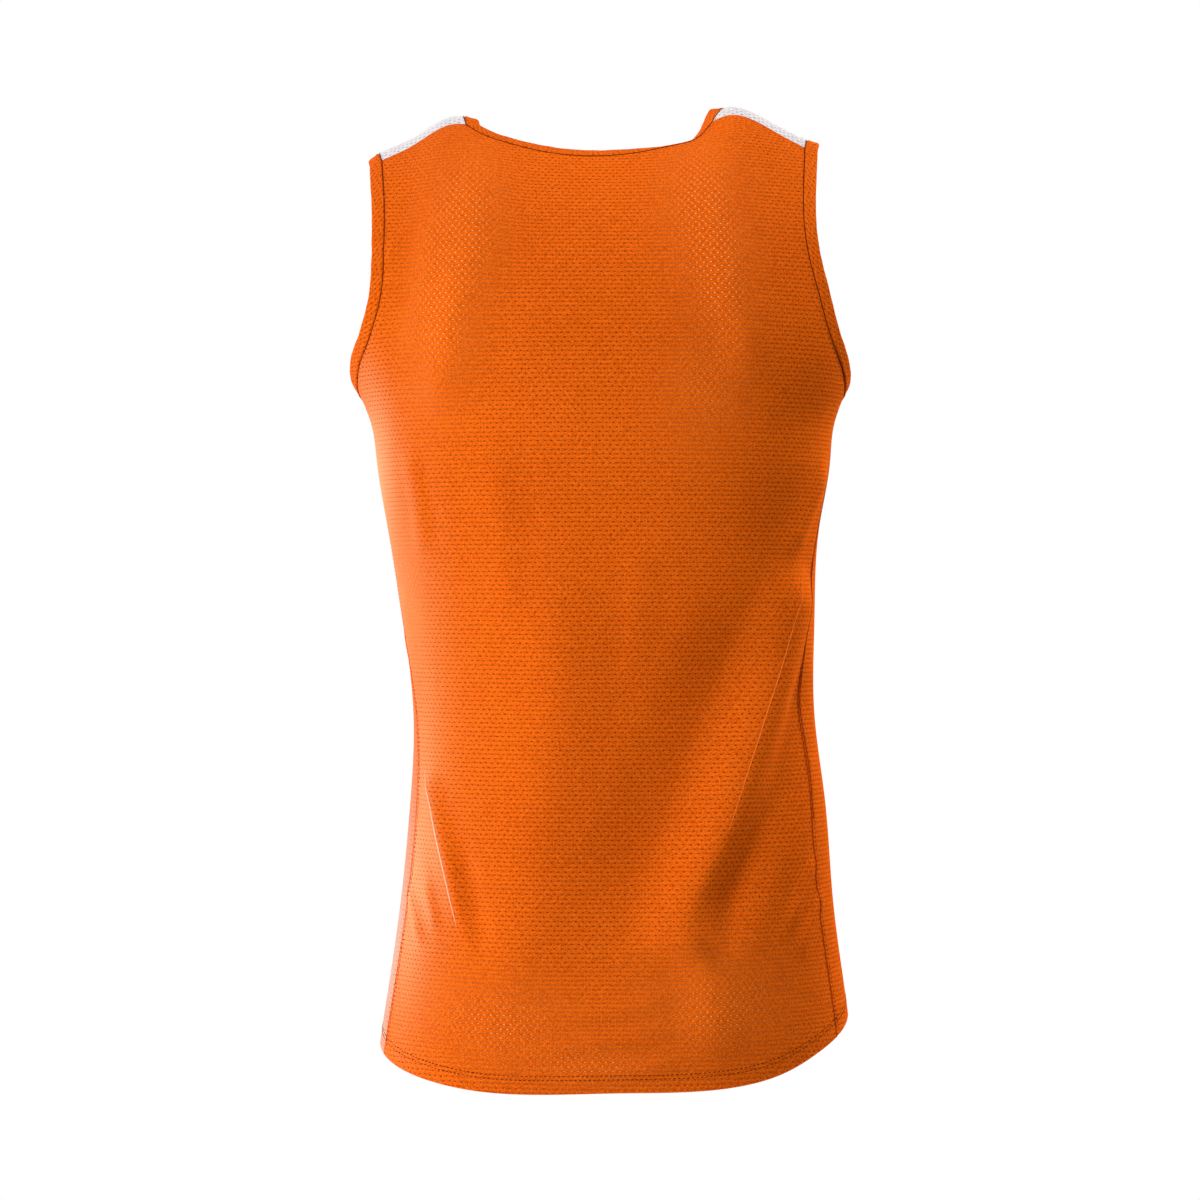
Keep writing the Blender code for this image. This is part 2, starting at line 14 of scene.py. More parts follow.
import bmesh
import bpy
import numpy as np
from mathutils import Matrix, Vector


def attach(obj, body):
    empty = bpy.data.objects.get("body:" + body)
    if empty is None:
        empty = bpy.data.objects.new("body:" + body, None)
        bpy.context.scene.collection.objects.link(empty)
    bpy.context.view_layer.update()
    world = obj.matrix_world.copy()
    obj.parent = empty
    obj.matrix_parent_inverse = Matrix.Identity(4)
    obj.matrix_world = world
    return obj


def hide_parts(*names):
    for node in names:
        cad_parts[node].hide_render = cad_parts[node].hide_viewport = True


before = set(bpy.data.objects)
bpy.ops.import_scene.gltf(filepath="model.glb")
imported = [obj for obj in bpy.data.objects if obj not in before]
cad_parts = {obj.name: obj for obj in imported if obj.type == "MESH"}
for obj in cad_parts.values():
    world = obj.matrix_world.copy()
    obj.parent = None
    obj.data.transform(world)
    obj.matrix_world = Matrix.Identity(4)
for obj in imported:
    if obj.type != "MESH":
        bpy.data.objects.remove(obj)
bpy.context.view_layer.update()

log = logging.getLogger("jersey")

Array = np.ndarray
Colour = tuple[float, float, float]
Thing = bpy.types.Object
Material = bpy.types.Material
Socket = bpy.types.NodeSocket

BODY = "root"

# The cloth's wall, the gap at a seam, and the turned-up hem with its extra thickness
WALL = 0.0018
SEAM_GAP = 0.0003
HEM_DEPTH = 0.013
HEM_EXTRA = 0.0010

# The form: the underarm, how far down the shoulders round over, and how square a level
# section is (2 is an ellipse)
UNDERARM_HEIGHT = -0.2035
SHOULDER_DROP = 0.170
SECTION_ROUNDNESS = 2.3

# How far the yokes lap over the ridge, and how the front's neckline scoops down
BACK_YOKE_LAP = math.radians(19.3)
FRONT_YOKE_LAP = math.radians(31.0)
FRONT_NECK_DROP = 0.088
FRONT_NECK_POWER = 2.2

# Metres of cloth to a radian, over the ridge and round the trunk at its seams, and
# half a seam's gap there
LAP_REACH = 0.11
TURN_REACH = 0.13
LAP_GAP = SEAM_GAP / 2 / LAP_REACH
SEAM_TURN = SEAM_GAP / 2 / TURN_REACH

# Small steps in metres and in radians for measuring how the skin slopes, the least
# length that counts, the points along a fold or a crease, and the rounds in which the
# hem settles on its seams
NUDGE = 0.0002
SLIDE = 0.0005
LEAST_REACH = 1e-9
FOLD_STEPS = 24
CREASE_STEPS = 120
SETTLING = 8

# Steps along a panel's edge: up its sides and arms and along its neck, along each yoke
# seam, and along its hem
EDGE_STEPS = 61
SHOULDER_STEPS = 13
HEM_STEPS = 161


class Face(Enum):
    """The two sides of the garment."""

    BACK = "back"
    FRONT = "front"


class Side(Enum):
    """Left and right as seen from behind."""

    LEFT = "left"
    RIGHT = "right"

    @property
    def place(self) -> int:
        """0 for the left and 1 for the right."""
        return 0 if self is Side.LEFT else 1


class Section(NamedTuple):
    """A level section round the trunk: its side lines and its depths."""

    height: float
    left: float
    right: float
    back: float
    front: float


class Ridge(NamedTuple):
    """A point of the line along the top of the shoulders."""

    across: float
    height: float


class Hem(NamedTuple):
    """The hem's height by the angle from the middle of the back, in degrees."""

    angle: float
    height: float


class SideSeam(NamedTuple):
    """The side seams' angles by height, in degrees from the middle of the back."""

    height: float
    left: float
    right: float


class Armhole(NamedTuple):
    """The armholes' edges above the underarm, across."""

    height: float
    back_left: float
    back_right: float
    front: float


class Yoke(NamedTuple):
    """Where a yoke lies across: at its back seam, on the ridge, at its front seam."""

    neck_back: float
    neck_ridge: float
    neck_front: float
    arm_back: float
    arm_ridge: float
    arm_front: float


class Roll(NamedTuple):
    """How far a binding leans in, in degrees, by the part of the way round its loop."""

    part: float
    lean: float


def table(kind: type, rows: Sequence[tuple]) -> tuple:
    """A table of named rows."""
    return tuple(kind(*row) for row in rows)


SECTIONS = table(Section, (
    (-0.735, -0.1700, 0.1910, 0.1240, 0.1190),
    (-0.690, -0.1650, 0.1885, 0.1230, 0.1180),
    (-0.645, -0.1582, 0.1830, 0.1205, 0.1150),
    (-0.580, -0.1490, 0.1745, 0.1165, 0.1120),
    (-0.505, -0.1418, 0.1685, 0.1120, 0.1100),
    (-0.440, -0.1395, 0.1605, 0.1100, 0.1100),
    (-0.370, -0.1475, 0.1605, 0.1130, 0.1150),
    (-0.300, -0.1588, 0.1640, 0.1180, 0.1220),
    (-0.250, -0.1670, 0.1720, 0.1210, 0.1270),
    (-0.219, -0.1720, 0.1760, 0.1215, 0.1290),
    (-0.200, -0.1800, 0.1830, 0.1215, 0.1290),
    (-0.170, -0.1920, 0.1915, 0.1210, 0.1270),
    (-0.120, -0.1990, 0.1955, 0.1190, 0.1200),
    (-0.060, -0.2025, 0.1975, 0.1120, 0.1080),
    (0.030, -0.2040, 0.1980, 0.1000, 0.1000),
))

RIDGE = table(Ridge, (
    (-0.205, -0.0430), (-0.1644, -0.0178), (-0.140, -0.0068), (-0.1123, 0.0085),
    (-0.095, 0.0082), (-0.050, 0.0010), (0.000, -0.0030), (0.050, 0.0000),
    (0.075, 0.0060), (0.0958, 0.0158), (0.111, 0.0136), (0.1365, 0.0004),
    (0.1546, -0.0085), (0.200, -0.0330),
))

HEM = table(Hem, (
    (-180, -0.700), (-130, -0.697), (-90, -0.685), (-71, -0.6926),
    (-61, -0.6981), (-47, -0.7052), (-30, -0.7110), (0, -0.7100),
    (25, -0.7080), (41, -0.6990), (52, -0.6878), (69, -0.6735),
    (90, -0.6635), (130, -0.685), (180, -0.700),
))

SIDE_SEAMS = table(SideSeam, (
    (-0.735, -73, 64), (-0.600, -71, 63), (-0.510, -70, 62),
    (-0.440, -75, 65), (-0.380, -84, 65), (-0.320, -90, 74),
    (-0.260, -91, 86), (UNDERARM_HEIGHT, -90, 90),
))

ARMHOLES = table(Armhole, (
    (-0.1990, -0.1800, 0.1822, 0.1790), (-0.1917, -0.1800, 0.1812, 0.1740),
    (-0.1805, -0.1775, 0.1776, 0.1660), (-0.1684, -0.1719, 0.1724, 0.1590),
    (-0.1559, -0.1670, 0.1676, 0.1530), (-0.1290, -0.1600, 0.1600, 0.1450),
    (-0.0980, -0.1585, 0.1522, 0.1415), (-0.0614, -0.1590, 0.1495, 0.1425),
    (-0.0200, -0.1625, 0.1520, 0.1490),
))

YOKES = {
    Side.LEFT: Yoke(-0.1000, -0.1033, -0.0985, -0.1625, -0.1644, -0.1520),
    Side.RIGHT: Yoke(0.0839, 0.0958, 0.0930, 0.1525, 0.1546, 0.1480),
}

BACK_NECKLINE = table(Ridge, (
    (-0.0892, -0.0081), (-0.0742, -0.0146), (-0.0450, -0.0228), (-0.0080, -0.0269),
    (0.0300, -0.0235), (0.0600, -0.0168), (0.0750, -0.0100),
))

NECK_ROLLS = table(Roll, (
    (0.0, 12), (0.22, 14), (0.35, 26), (0.43, 34), (0.48, 4),
    (0.53, -14), (0.60, -4), (0.73, 8), (1.0, 12),
))
LEFT_ARMHOLE_ROLLS = table(Roll, (
    (0.0, -4), (0.30, -14), (0.42, 4), (0.48, 14), (0.60, 0), (1.0, -4),
))
RIGHT_ARMHOLE_ROLLS = table(Roll, (
    (0.0, -4), (0.30, -14), (0.48, -8), (0.60, 0), (1.0, -4),
))


@dataclass(frozen=True)
class Fold:
    """A soft ridge, or a trough where its rise is below zero.

    It runs through points given across and in height, and fades out over its two
    widths, to its left and its right as seen from outside with its start up. The
    smaller soft is, the sharper is its crest.
    """

    name: str
    face: Face
    rise: float
    left: float
    right: float
    run: tuple[tuple[float, float], ...]
    fade: float = 0.28
    soft: float = 3.0


FOLDS = (
    Fold("left blade", Face.BACK, 0.0064, 0.042, 0.045,
         ((-0.0847, -0.0090), (-0.0877, -0.0619), (-0.0944, -0.1074), (-0.1059, -0.1513),
          (-0.1126, -0.1946), (-0.1195, -0.2305)), 0.20, 0.2),
    Fold("right blade", Face.BACK, 0.0045, 0.028, 0.038,
         ((0.0750, -0.0089), (0.0789, -0.0620), (0.0886, -0.1076), (0.1030, -0.1550),
          (0.1134, -0.2091)), 0.22, 0.3),
    Fold("left middle ridge", Face.BACK, 0.0022, 0.030, 0.024,
         ((-0.0782, -0.2241), (-0.0732, -0.2820), (-0.0682, -0.3326),
          (-0.0639, -0.3834)), 0.28, 0.4),
    Fold("middle ridge", Face.BACK, 0.0074, 0.070, 0.070,
         ((-0.0390, -0.2677), (-0.0326, -0.3544), (-0.0290, -0.4124), (-0.0319, -0.4559),
          (-0.0384, -0.4994), (-0.0457, -0.5428), (-0.0521, -0.5862), (-0.0667, -0.6261),
          (-0.0753, -0.6946)), 0.20, 0.3),
    Fold("small middle ridge", Face.BACK, 0.0012, 0.020, 0.020,
         ((0.0289, -0.3038), (0.0289, -0.3689), (0.0232, -0.4268)), 0.28, 0.6),
    Fold("long trough", Face.BACK, -0.0080, 0.060, 0.036,
         ((0.1290, -0.3471), (0.0983, -0.4127), (0.0799, -0.4561), (0.0631, -0.4994),
          (0.0434, -0.5425), (0.0144, -0.6000)), 0.22, 2.5),
    Fold("long ridge", Face.BACK, 0.0100, 0.044, 0.034,
         ((0.1527, -0.3247), (0.1439, -0.3544), (0.1330, -0.3875), (0.1215, -0.4276),
          (0.1102, -0.4588), (0.1020, -0.4833), (0.0923, -0.5099), (0.0805, -0.5386),
          (0.0681, -0.5716), (0.0615, -0.6003), (0.0571, -0.6254)), 0.12, 1.6),
    Fold("side trough", Face.BACK, -0.0050, 0.028, 0.034,
         ((0.1530, -0.3915), (0.1472, -0.4284), (0.1399, -0.4597), (0.1335, -0.4842),
          (0.1242, -0.5108), (0.1107, -0.5394), (0.0936, -0.5685), (0.0855, -0.5935),
          (0.0811, -0.6186)), 0.15, 1.5),
    Fold("left crease", Face.BACK, 0.0042, 0.020, 0.020,
         ((-0.1289, -0.4766), (-0.1224, -0.5018), (-0.1160, -0.5270), (-0.1068, -0.5592),
          (-0.0961, -0.6056)), 0.20, 0.3),
    Fold("left crease trough", Face.BACK, -0.0028, 0.012, 0.016,
         ((-0.1039, -0.5263), (-0.0963, -0.5587), (-0.0888, -0.5873),
          (-0.0798, -0.6229)), 0.28, 1.0),
    Fold("right hip ridge", Face.BACK, 0.0040, 0.035, 0.050,
         ((0.0753, -0.5717), (0.0811, -0.6294), (0.0838, -0.7013)), 0.28, 0.4),
    Fold("left hip crease", Face.BACK, 0.0018, 0.009, 0.009,
         ((-0.1422, -0.5628), (-0.1368, -0.5872), (-0.1294, -0.6131)), 0.28, 0.8),
    Fold("second left hip crease", Face.BACK, 0.0014, 0.008, 0.009,
         ((-0.1299, -0.5580), (-0.1242, -0.5786), (-0.1179, -0.6020)), 0.28, 0.8),
    Fold("first hem ripple", Face.BACK, 0.0014, 0.012, 0.011,
         ((-0.0651, -0.6591), (-0.0217, -0.6561), (0.0216, -0.6495),
          (0.0650, -0.6405)), 0.28, 2.0),
    Fold("second hem ripple", Face.BACK, 0.0014, 0.011, 0.010,
         ((-0.0687, -0.6814), (-0.0216, -0.6776), (0.0216, -0.6703),
          (0.0686, -0.6628)), 0.28, 2.0),
    Fold("third hem ripple", Face.BACK, 0.0022, 0.011, 0.009,
         ((-0.0433, -0.7016), (0.0000, -0.6961), (0.0288, -0.6939),
          (0.0650, -0.6857)), 0.28, 2.0),
    Fold("left edge bump", Face.BACK, 0.0026, 0.014, 0.016,
         ((-0.1440, -0.2368), (-0.1335, -0.2811), (-0.1294, -0.3323)), 0.28, 2.0),
    Fold("right streak", Face.BACK, 0.0040, 0.018, 0.018,
         ((0.1696, -0.2482), (0.1538, -0.2878), (0.1336, -0.3309)), 0.28, 1.0),
    Fold("right hip crease", Face.BACK, 0.0026, 0.010, 0.010,
         ((0.1599, -0.5394), (0.1477, -0.5675), (0.1329, -0.6063)), 0.28, 0.8),
    Fold("second right hip crease", Face.BACK, 0.0022, 0.008, 0.010,
         ((0.1646, -0.5658), (0.1546, -0.5900), (0.1434, -0.6215)), 0.28, 0.8),
    Fold("armhole pull", Face.BACK, -0.0024, 0.018, 0.020,
         ((-0.1459, -0.0269), (-0.1421, -0.0980), (-0.1476, -0.1424),
          (-0.1586, -0.1855)), 0.24, 2.0),
    Fold("left shoulder pull", Face.BACK, 0.0014, 0.008, 0.010,
         ((-0.1572, -0.1061), (-0.1469, -0.0863), (-0.1322, -0.0665)), 0.28, 0.8),
    Fold("front left drape", Face.FRONT, 0.0058, 0.046, 0.038,
         ((-0.0600, -0.1900), (-0.0520, -0.3600), (-0.0700, -0.5000),
          (-0.0920, -0.6100)), 0.24, 0.4),
    Fold("front right drape", Face.FRONT, 0.0050, 0.036, 0.044,
         ((0.0660, -0.1800), (0.0520, -0.3300), (0.0600, -0.4700),
          (0.0880, -0.5800)), 0.26, 0.6),
    Fold("front middle ridge", Face.FRONT, 0.0024, 0.026, 0.030,
         ((0.0060, -0.3300), (-0.0020, -0.4200), (0.0080, -0.5400)), 0.28, 0.5),
    Fold("front long trough", Face.FRONT, -0.0070, 0.036, 0.052,
         ((-0.1280, -0.3500), (-0.0940, -0.4400), (-0.0640, -0.5100),
          (-0.0320, -0.5800)), 0.25, 2.0),
    Fold("front long ridge", Face.FRONT, 0.0062, 0.030, 0.040,
         ((-0.1500, -0.3400), (-0.1300, -0.4200), (-0.1040, -0.5000),
          (-0.0720, -0.5900)), 0.20, 1.2),
    Fold("front hip crease", Face.FRONT, 0.0038, 0.018, 0.020,
         ((0.1400, -0.4700), (0.1220, -0.5400), (0.1000, -0.6200)), 0.22, 0.4),
    Fold("front armhole pull", Face.FRONT, -0.0022, 0.020, 0.018,
         ((0.1380, -0.0600), (0.1420, -0.1100), (0.1560, -0.1750)), 0.24, 2.0),
    Fold("front hem ripple", Face.FRONT, 0.0015, 0.012, 0.011,
         ((-0.0700, -0.6480), (-0.0100, -0.6560), (0.0600, -0.6620)), 0.28, 2.0),
    Fold("second front hem ripple", Face.FRONT, 0.0013, 0.011, 0.010,
         ((-0.0640, -0.6700), (0.0000, -0.6790), (0.0520, -0.6850)), 0.28, 2.0),
)


# ---------------------------------------------------------------- the skin of cloth


class Spline:
    """A smooth curve through values at places, without bend at its two ends."""

    def __init__(self, places: Sequence[float], values: Sequence[float]) -> None:
        """Fit the curve.

        Args:
            places: Rising places.
            values: The value at each place.
        """
        self.places = np.asarray(places, float)
        self.values = np.asarray(values, float)
        self.steps = np.diff(self.places)
        grades = np.diff(self.values) / self.steps
        count = len(self.places)
        matrix = np.eye(count)
        wanted = np.zeros(count)
        for i in range(1, count - 1):
            before, after = self.steps[i - 1], self.steps[i]
            matrix[i, i - 1:i + 2] = before, 2 * (before + after), after
            wanted[i] = 6 * (grades[i] - grades[i - 1])
        self.bends = np.linalg.solve(matrix, wanted)

    def __call__(self, place: Array) -> Array:
        """The curve's value at each place.

        Args:
            place: The places.

        Returns:
            The values, held even past the ends.
        """
        place = np.clip(place, self.places[0], self.places[-1])
        i = np.searchsorted(self.places, place, side="right") - 1
        i = np.clip(i, 0, len(self.places) - 2)
        far = (place - self.places[i]) / self.steps[i]
        near = 1 - far
        bend = (near ** 3 - near) * self.bends[i] + (far ** 3 - far) * self.bends[i + 1]
        even = near * self.values[i] + far * self.values[i + 1]
        return even + bend * self.steps[i] ** 2 / 6


def column(table: Sequence[NamedTuple], name: str) -> list[float]:
    """One named column of a table."""
    return [getattr(row, name) for row in table]


def curve(table: Sequence[NamedTuple], by: str, name: str) -> Spline:
    """A smooth curve of one column of a table by another."""
    return Spline(column(table, by), column(table, name))


def normal_of(first: Array, second: Array) -> Array:
    """The unit normal across two directions."""
    across = np.cross(first, second)
    return across / np.linalg.norm(across, axis=-1, keepdims=True)


def facing(surface: Callable[[Array, Array], Array], first: Array, second: Array,
           steps: tuple[float, float]) -> Array:
    """The outward normal of a surface of two coordinates.

    Args:
        surface: The surface's point by its two coordinates.
        first: The first coordinate.
        second: The second coordinate.
        steps: A small step in each of them.

    Returns:
        The unit normals.
    """
    a, b = steps
    over = surface(first + a, second) - surface(first - a, second)
    on = surface(first, second + b) - surface(first, second - b)
    return normal_of(over, on)


def smooth_run(run: Sequence[tuple[float, float]], steps: int) -> tuple[Array, Array]:
    """A smooth curve through a few places of the cloth.

    Args:
        run: Places across and heights, evenly spaced along the curve.
        steps: How many points to lay along it.

    Returns:
        The points' places across and heights.
    """
    given = np.array(run)
    part, fine = np.linspace(0, 1, len(given)), np.linspace(0, 1, steps)
    return Spline(part, given[:, 0])(fine), Spline(part, given[:, 1])(fine)


def rounding(turn: Array) -> Array:
    """How far out a rounded section of half width and depth 1 lies at a turn."""
    power = SECTION_ROUNDNESS
    return (np.abs(np.sin(turn)) ** power + np.abs(np.cos(turn)) ** power) ** (-1 / power)


class Skin:
    """The one skin of cloth on which every wall lies."""

    def __init__(self, folds: Sequence[Fold]) -> None:
        """Fit the skin's curves and lay its folds' paths.

        Args:
            folds: The folds pushed in or out of the skin.
        """
        self.left_line = curve(SECTIONS, "height", "left")
        self.right_line = curve(SECTIONS, "height", "right")
        self.back_depth = curve(SECTIONS, "height", "back")
        self.front_depth = curve(SECTIONS, "height", "front")
        self.ridge_height = curve(RIDGE, "across", "height")
        self.hem_height = curve(HEM, "angle", "height")
        self.left_seam = curve(SIDE_SEAMS, "height", "left")
        self.right_seam = curve(SIDE_SEAMS, "height", "right")
        self.folds = [(fold, self.path(fold)) for fold in folds]

    def hem_at(self, turn: Array) -> Array:
        """The hem's height at a turn round the trunk."""
        return self.hem_height((np.degrees(turn) + 180) % 360 - 180)

    def breadth(self, height: Array) -> tuple[Array, Array]:
        """The middle and the half width of a level section."""
        left, right = self.left_line(height), self.right_line(height)
        return (left + right) / 2, (right - left) / 2

    def point(self, across: Array, height: Array, turn: Array) -> Array:
        """A point of the bare skin.

        Args:
            across: Its place across.
            height: Its height.
            turn: The angle round its level section from the middle of the back.

        Returns:
            The points, with the depth closing to nothing at the ridge above them.
        """
        behind = np.cos(turn) > 0
        depth = np.where(behind, self.back_depth(height), self.front_depth(height))
        fall = np.clip((self.ridge_height(across) - height) / SHOULDER_DROP, 0, 1)
        closing = np.sqrt(1 - (1 - fall) ** 2)
        back = depth * rounding(turn) * np.cos(turn) * closing
        return np.stack(np.broadcast_arrays(across, -back, height), axis=-1)

    def trunk(self, turn: Array, height: Array) -> Array:
        """A point of the bare skin by its turn round the trunk and its height."""
        middle, half = self.breadth(height)
        return self.point(middle + half * rounding(turn) * np.sin(turn), height, turn)

    def turn_at(self, across: Array, height: Array, face: Face) -> Array:
        """The turn at which a level section reaches a place across, on one face.

        Args:
            across: The place across.
            height: The section's height.
            face: Back or front.

        Returns:
            The turns.
        """
        middle, half = self.breadth(height)
        reach = np.clip((across - middle) / half, -1, 1)
        size = np.maximum(np.abs(reach), LEAST_REACH)
        steep = np.maximum(size ** -SECTION_ROUNDNESS - 1, 0) ** (1 / SECTION_ROUNDNESS)
        sign = np.where(reach < 0, -1.0, 1.0)
        turn = sign * np.arctan2(1.0, steep)
        return turn if face is Face.BACK else sign * math.pi - turn

    def shoulder(self, across: Array, lap: Array) -> Array:
        """A point of the skin by its place across and its lap over the ridge.

        Args:
            across: The place across.
            lap: The lap, below 0 behind the ridge.

        Returns:
            The points.
        """
        height = self.ridge_height(across) - SHOULDER_DROP * (1 - np.cos(lap))
        behind = self.point(across, height, self.turn_at(across, height, Face.BACK))
        before = self.point(across, height, self.turn_at(across, height, Face.FRONT))
        return np.where((lap < 0)[..., None], behind, before)

    def shoulder_normal(self, across: Array, lap: Array) -> Array:
        """The outward normal over the shoulder."""
        return facing(self.shoulder, across, lap, (NUDGE, SLIDE))

    def path(self, fold: Fold) -> Array:
        """The fold's line on the bare skin, as points along a smooth curve."""
        across, height = smooth_run(fold.run, FOLD_STEPS)
        return self.point(across, height, self.turn_at(across, height, fold.face))

    def push(self, points: Array, normals: Array) -> Array:
        """How far the folds push each point of the skin out.

        Args:
            points: Points of the bare skin.
            normals: Its normals there.

        Returns:
            The lengths.
        """
        total = np.zeros(points.shape[:-1])
        for fold, path in self.folds:
            low = path.min(axis=0) - max(fold.left, fold.right)
            high = path.max(axis=0) + max(fold.left, fold.right)
            near = ((points > low) & (points < high)).all(axis=-1)
            if near.any():
                total[near] += self.one_push(fold, path, points[near], normals[near])
        return total

    def one_push(self, fold: Fold, path: Array, points: Array, normals: Array) -> Array:
        """How far one fold pushes each point out.

        Args:
            fold: The fold.
            path: Its line on the bare skin.
            points: Points near it.
            normals: The skin's normals there.

        Returns:
            The lengths.
        """
        starts, runs = path[:-1], np.diff(path, axis=0)
        away = points[..., None, :] - starts
        along = np.clip((away * runs).sum(-1) / (runs ** 2).sum(-1), 0, 1)
        miss = away - along[..., None] * runs
        near = np.linalg.norm(miss, axis=-1).argmin(-1)
        gap = np.take_along_axis(miss, near[..., None, None], -2)[..., 0, :]
        part = np.take_along_axis(along, near[..., None], -1)[..., 0]
        side = (np.cross(runs[near], gap) * normals).sum(-1)
        width = np.where(side > 0, fold.right, fold.left)
        spread = np.clip(np.linalg.norm(gap, axis=-1) / width, 0, 1)
        bend = np.sqrt(spread ** 2 + fold.soft ** 2) - fold.soft
        down = 1 - bend / (math.sqrt(1 + fold.soft ** 2) - fold.soft)
        place = (near + part) / len(runs)
        fade = np.clip(np.minimum(place, 1 - place) / fold.fade, 0, 1)
        return fold.rise * down ** 2 * fade * fade * (3 - 2 * fade)

    def bare_normal(self, turn: Array, height: Array) -> Array:
        """The outward normal of the bare trunk."""
        return facing(self.trunk, turn, height, (SLIDE, NUDGE))

    def folded(self, turn: Array, height: Array) -> Array:
        """A point of the trunk with its folds."""
        points, normals = self.trunk(turn, height), self.bare_normal(turn, height)
        return points + self.push(points, normals)[..., None] * normals

    def folded_normal(self, turn: Array, height: Array) -> Array:
        """The outward normal of the folded trunk."""
        return facing(self.folded, turn, height, (SLIDE, NUDGE))


def drop_at(lap: float) -> float:
    """How far below the ridge a lap over the shoulder lies."""
    return SHOULDER_DROP * (1 - math.cos(lap))


def through(first: float, middle: float, last: float, part: Array) -> Array:
    """A value on the even curve through three values, at part of the way."""
    return (first * (1 - part) * (1 - 2 * part) + middle * 4 * part * (1 - part)
            + last * part * (2 * part - 1))


class Cut:
    """The edges of the back or the front panel, as turns and heights on the skin."""

    def __init__(self, skin: Skin, face: Face) -> None:
        """Lay out the panel's edges.

        Args:
            skin: The skin it lies on.
            face: Back or front.
        """
        self.skin = skin
        self.face = face
        behind = face is Face.BACK
        self.middle = 0.0 if behind else -math.pi
        self.lap = (BACK_YOKE_LAP if behind else FRONT_YOKE_LAP) + LAP_GAP
        left, right = YOKES[Side.LEFT], YOKES[Side.RIGHT]
        end = "back" if behind else "front"
        self.necks = getattr(left, "neck_" + end), getattr(right, "neck_" + end)
        self.arms = getattr(left, "arm_" + end), getattr(right, "arm_" + end)
        self.neckline = self.neck_curve()
        self.arm_curves = {side: self.arm_curve(side) for side in Side}

    def unwound(self, turns: Array) -> Array:
        """Turns that run on through the middle of the front, from left to right."""
        return turns if self.face is Face.BACK else -((-turns) % (2 * math.pi))

    def seam_height(self, across: Array) -> Array:
        """The height of the yoke seam."""
        return self.skin.ridge_height(across) - drop_at(self.lap)

    def neck_curve(self) -> Callable[[Array], Array]:
        """The neckline's height by its place across.

        Returns:
            The curve.
        """
        left, right = self.necks
        ends = float(self.seam_height(left)), float(self.seam_height(right))
        if self.face is Face.BACK:
            places = [left, *column(BACK_NECKLINE, "across"), right]
            return Spline(places, [ends[0], *column(BACK_NECKLINE, "height"), ends[1]])

        def scoop(across: Array) -> Array:
            """The front's scoop below the line between the yokes.

            Args:
                across: Places across.

            Returns:
                The heights.
            """
            part = (across - left) / (right - left)
            sides = ends[0] + (ends[1] - ends[0]) * part
            return sides - FRONT_NECK_DROP * (1 - np.abs(2 * part - 1) ** FRONT_NECK_POWER)

        return scoop

    def arm_curve(self, side: Side) -> Spline:
        """The turn of an armhole's edge by the root of its climb above the underarm.

        Args:
            side: Left or right.

        Returns:
            The curve.
        """
        behind = self.face is Face.BACK
        name = "back_" + side.value if behind else "front"
        sign = -1 if side is Side.LEFT and not behind else 1
        arm = self.arms[side.place]
        top = float(self.seam_height(arm))
        rows = [row for row in ARMHOLES if row.height < top - HEM_DEPTH]
        heights = np.array(column(rows, "height") + [top])
        places = np.array([sign * getattr(row, name) for row in rows] + [arm])
        turns = self.unwound(self.skin.turn_at(places, heights, self.face))
        start = self.seams(np.array(UNDERARM_HEIGHT))[side.place]
        climbs = np.sqrt(heights - UNDERARM_HEIGHT)
        return Spline([0, *climbs], [start, *turns])

    def seams(self, height: Array) -> tuple[Array, Array]:
        """The turns of the left and right side seams at a height.

        Args:
            height: The height.

        Returns:
            The left and the right turn.
        """
        left = np.radians(self.skin.left_seam(height))
        right = np.radians(self.skin.right_seam(height))
        if self.face is Face.BACK:
            return left + SEAM_TURN, right - SEAM_TURN
        return left - SEAM_TURN, right - 2 * math.pi + SEAM_TURN

    def arm_edge(self, side: Side, parts: Array) -> tuple[Array, Array]:
        """Turns and heights up an armhole's edge, by part of its climb."""
        climb = (self.seam_height(self.arms[side.place]) - UNDERARM_HEIGHT) * parts
        return self.arm_curves[side](np.sqrt(climb)), UNDERARM_HEIGHT + climb

    def top_edge(self, across: Array) -> tuple[Array, Array]:
        """Turns and heights along the top edge, from the left arm to the right.

        Args:
            across: Places across.

        Returns:
            Turns and heights.
        """
        neck = (across > self.necks[0]) & (across < self.necks[1])
        line = self.neckline(np.clip(across, *self.necks))
        height = np.where(neck, line, self.seam_height(across))
        return self.unwound(self.skin.turn_at(across, height, self.face)), height

    def hem_edge(self, parts: Array) -> tuple[Array, Array]:
        """Turns and heights along the hem, from the left seam to the right.

        Args:
            parts: Parts of the way.

        Returns:
            Turns and heights.
        """
        height = np.full(parts.shape, float(self.skin.hem_height(0.0)))
        for _ in range(SETTLING):
            left, right = self.seams(height)
            turn = left + (right - left) * parts
            height = self.skin.hem_at(turn)
        return turn, height

    def side_edge(self, side: Side, parts: Array) -> tuple[Array, Array]:
        """Turns and heights up a side seam, from the hem to the underarm.

        Args:
            side: Left or right.
            parts: Parts of the way.

        Returns:
            Turns and heights.
        """
        low = float(self.hem_edge(np.array([float(side.place)]))[1][0])
        height = low + (UNDERARM_HEIGHT - low) * parts
        return self.seams(height)[side.place], height

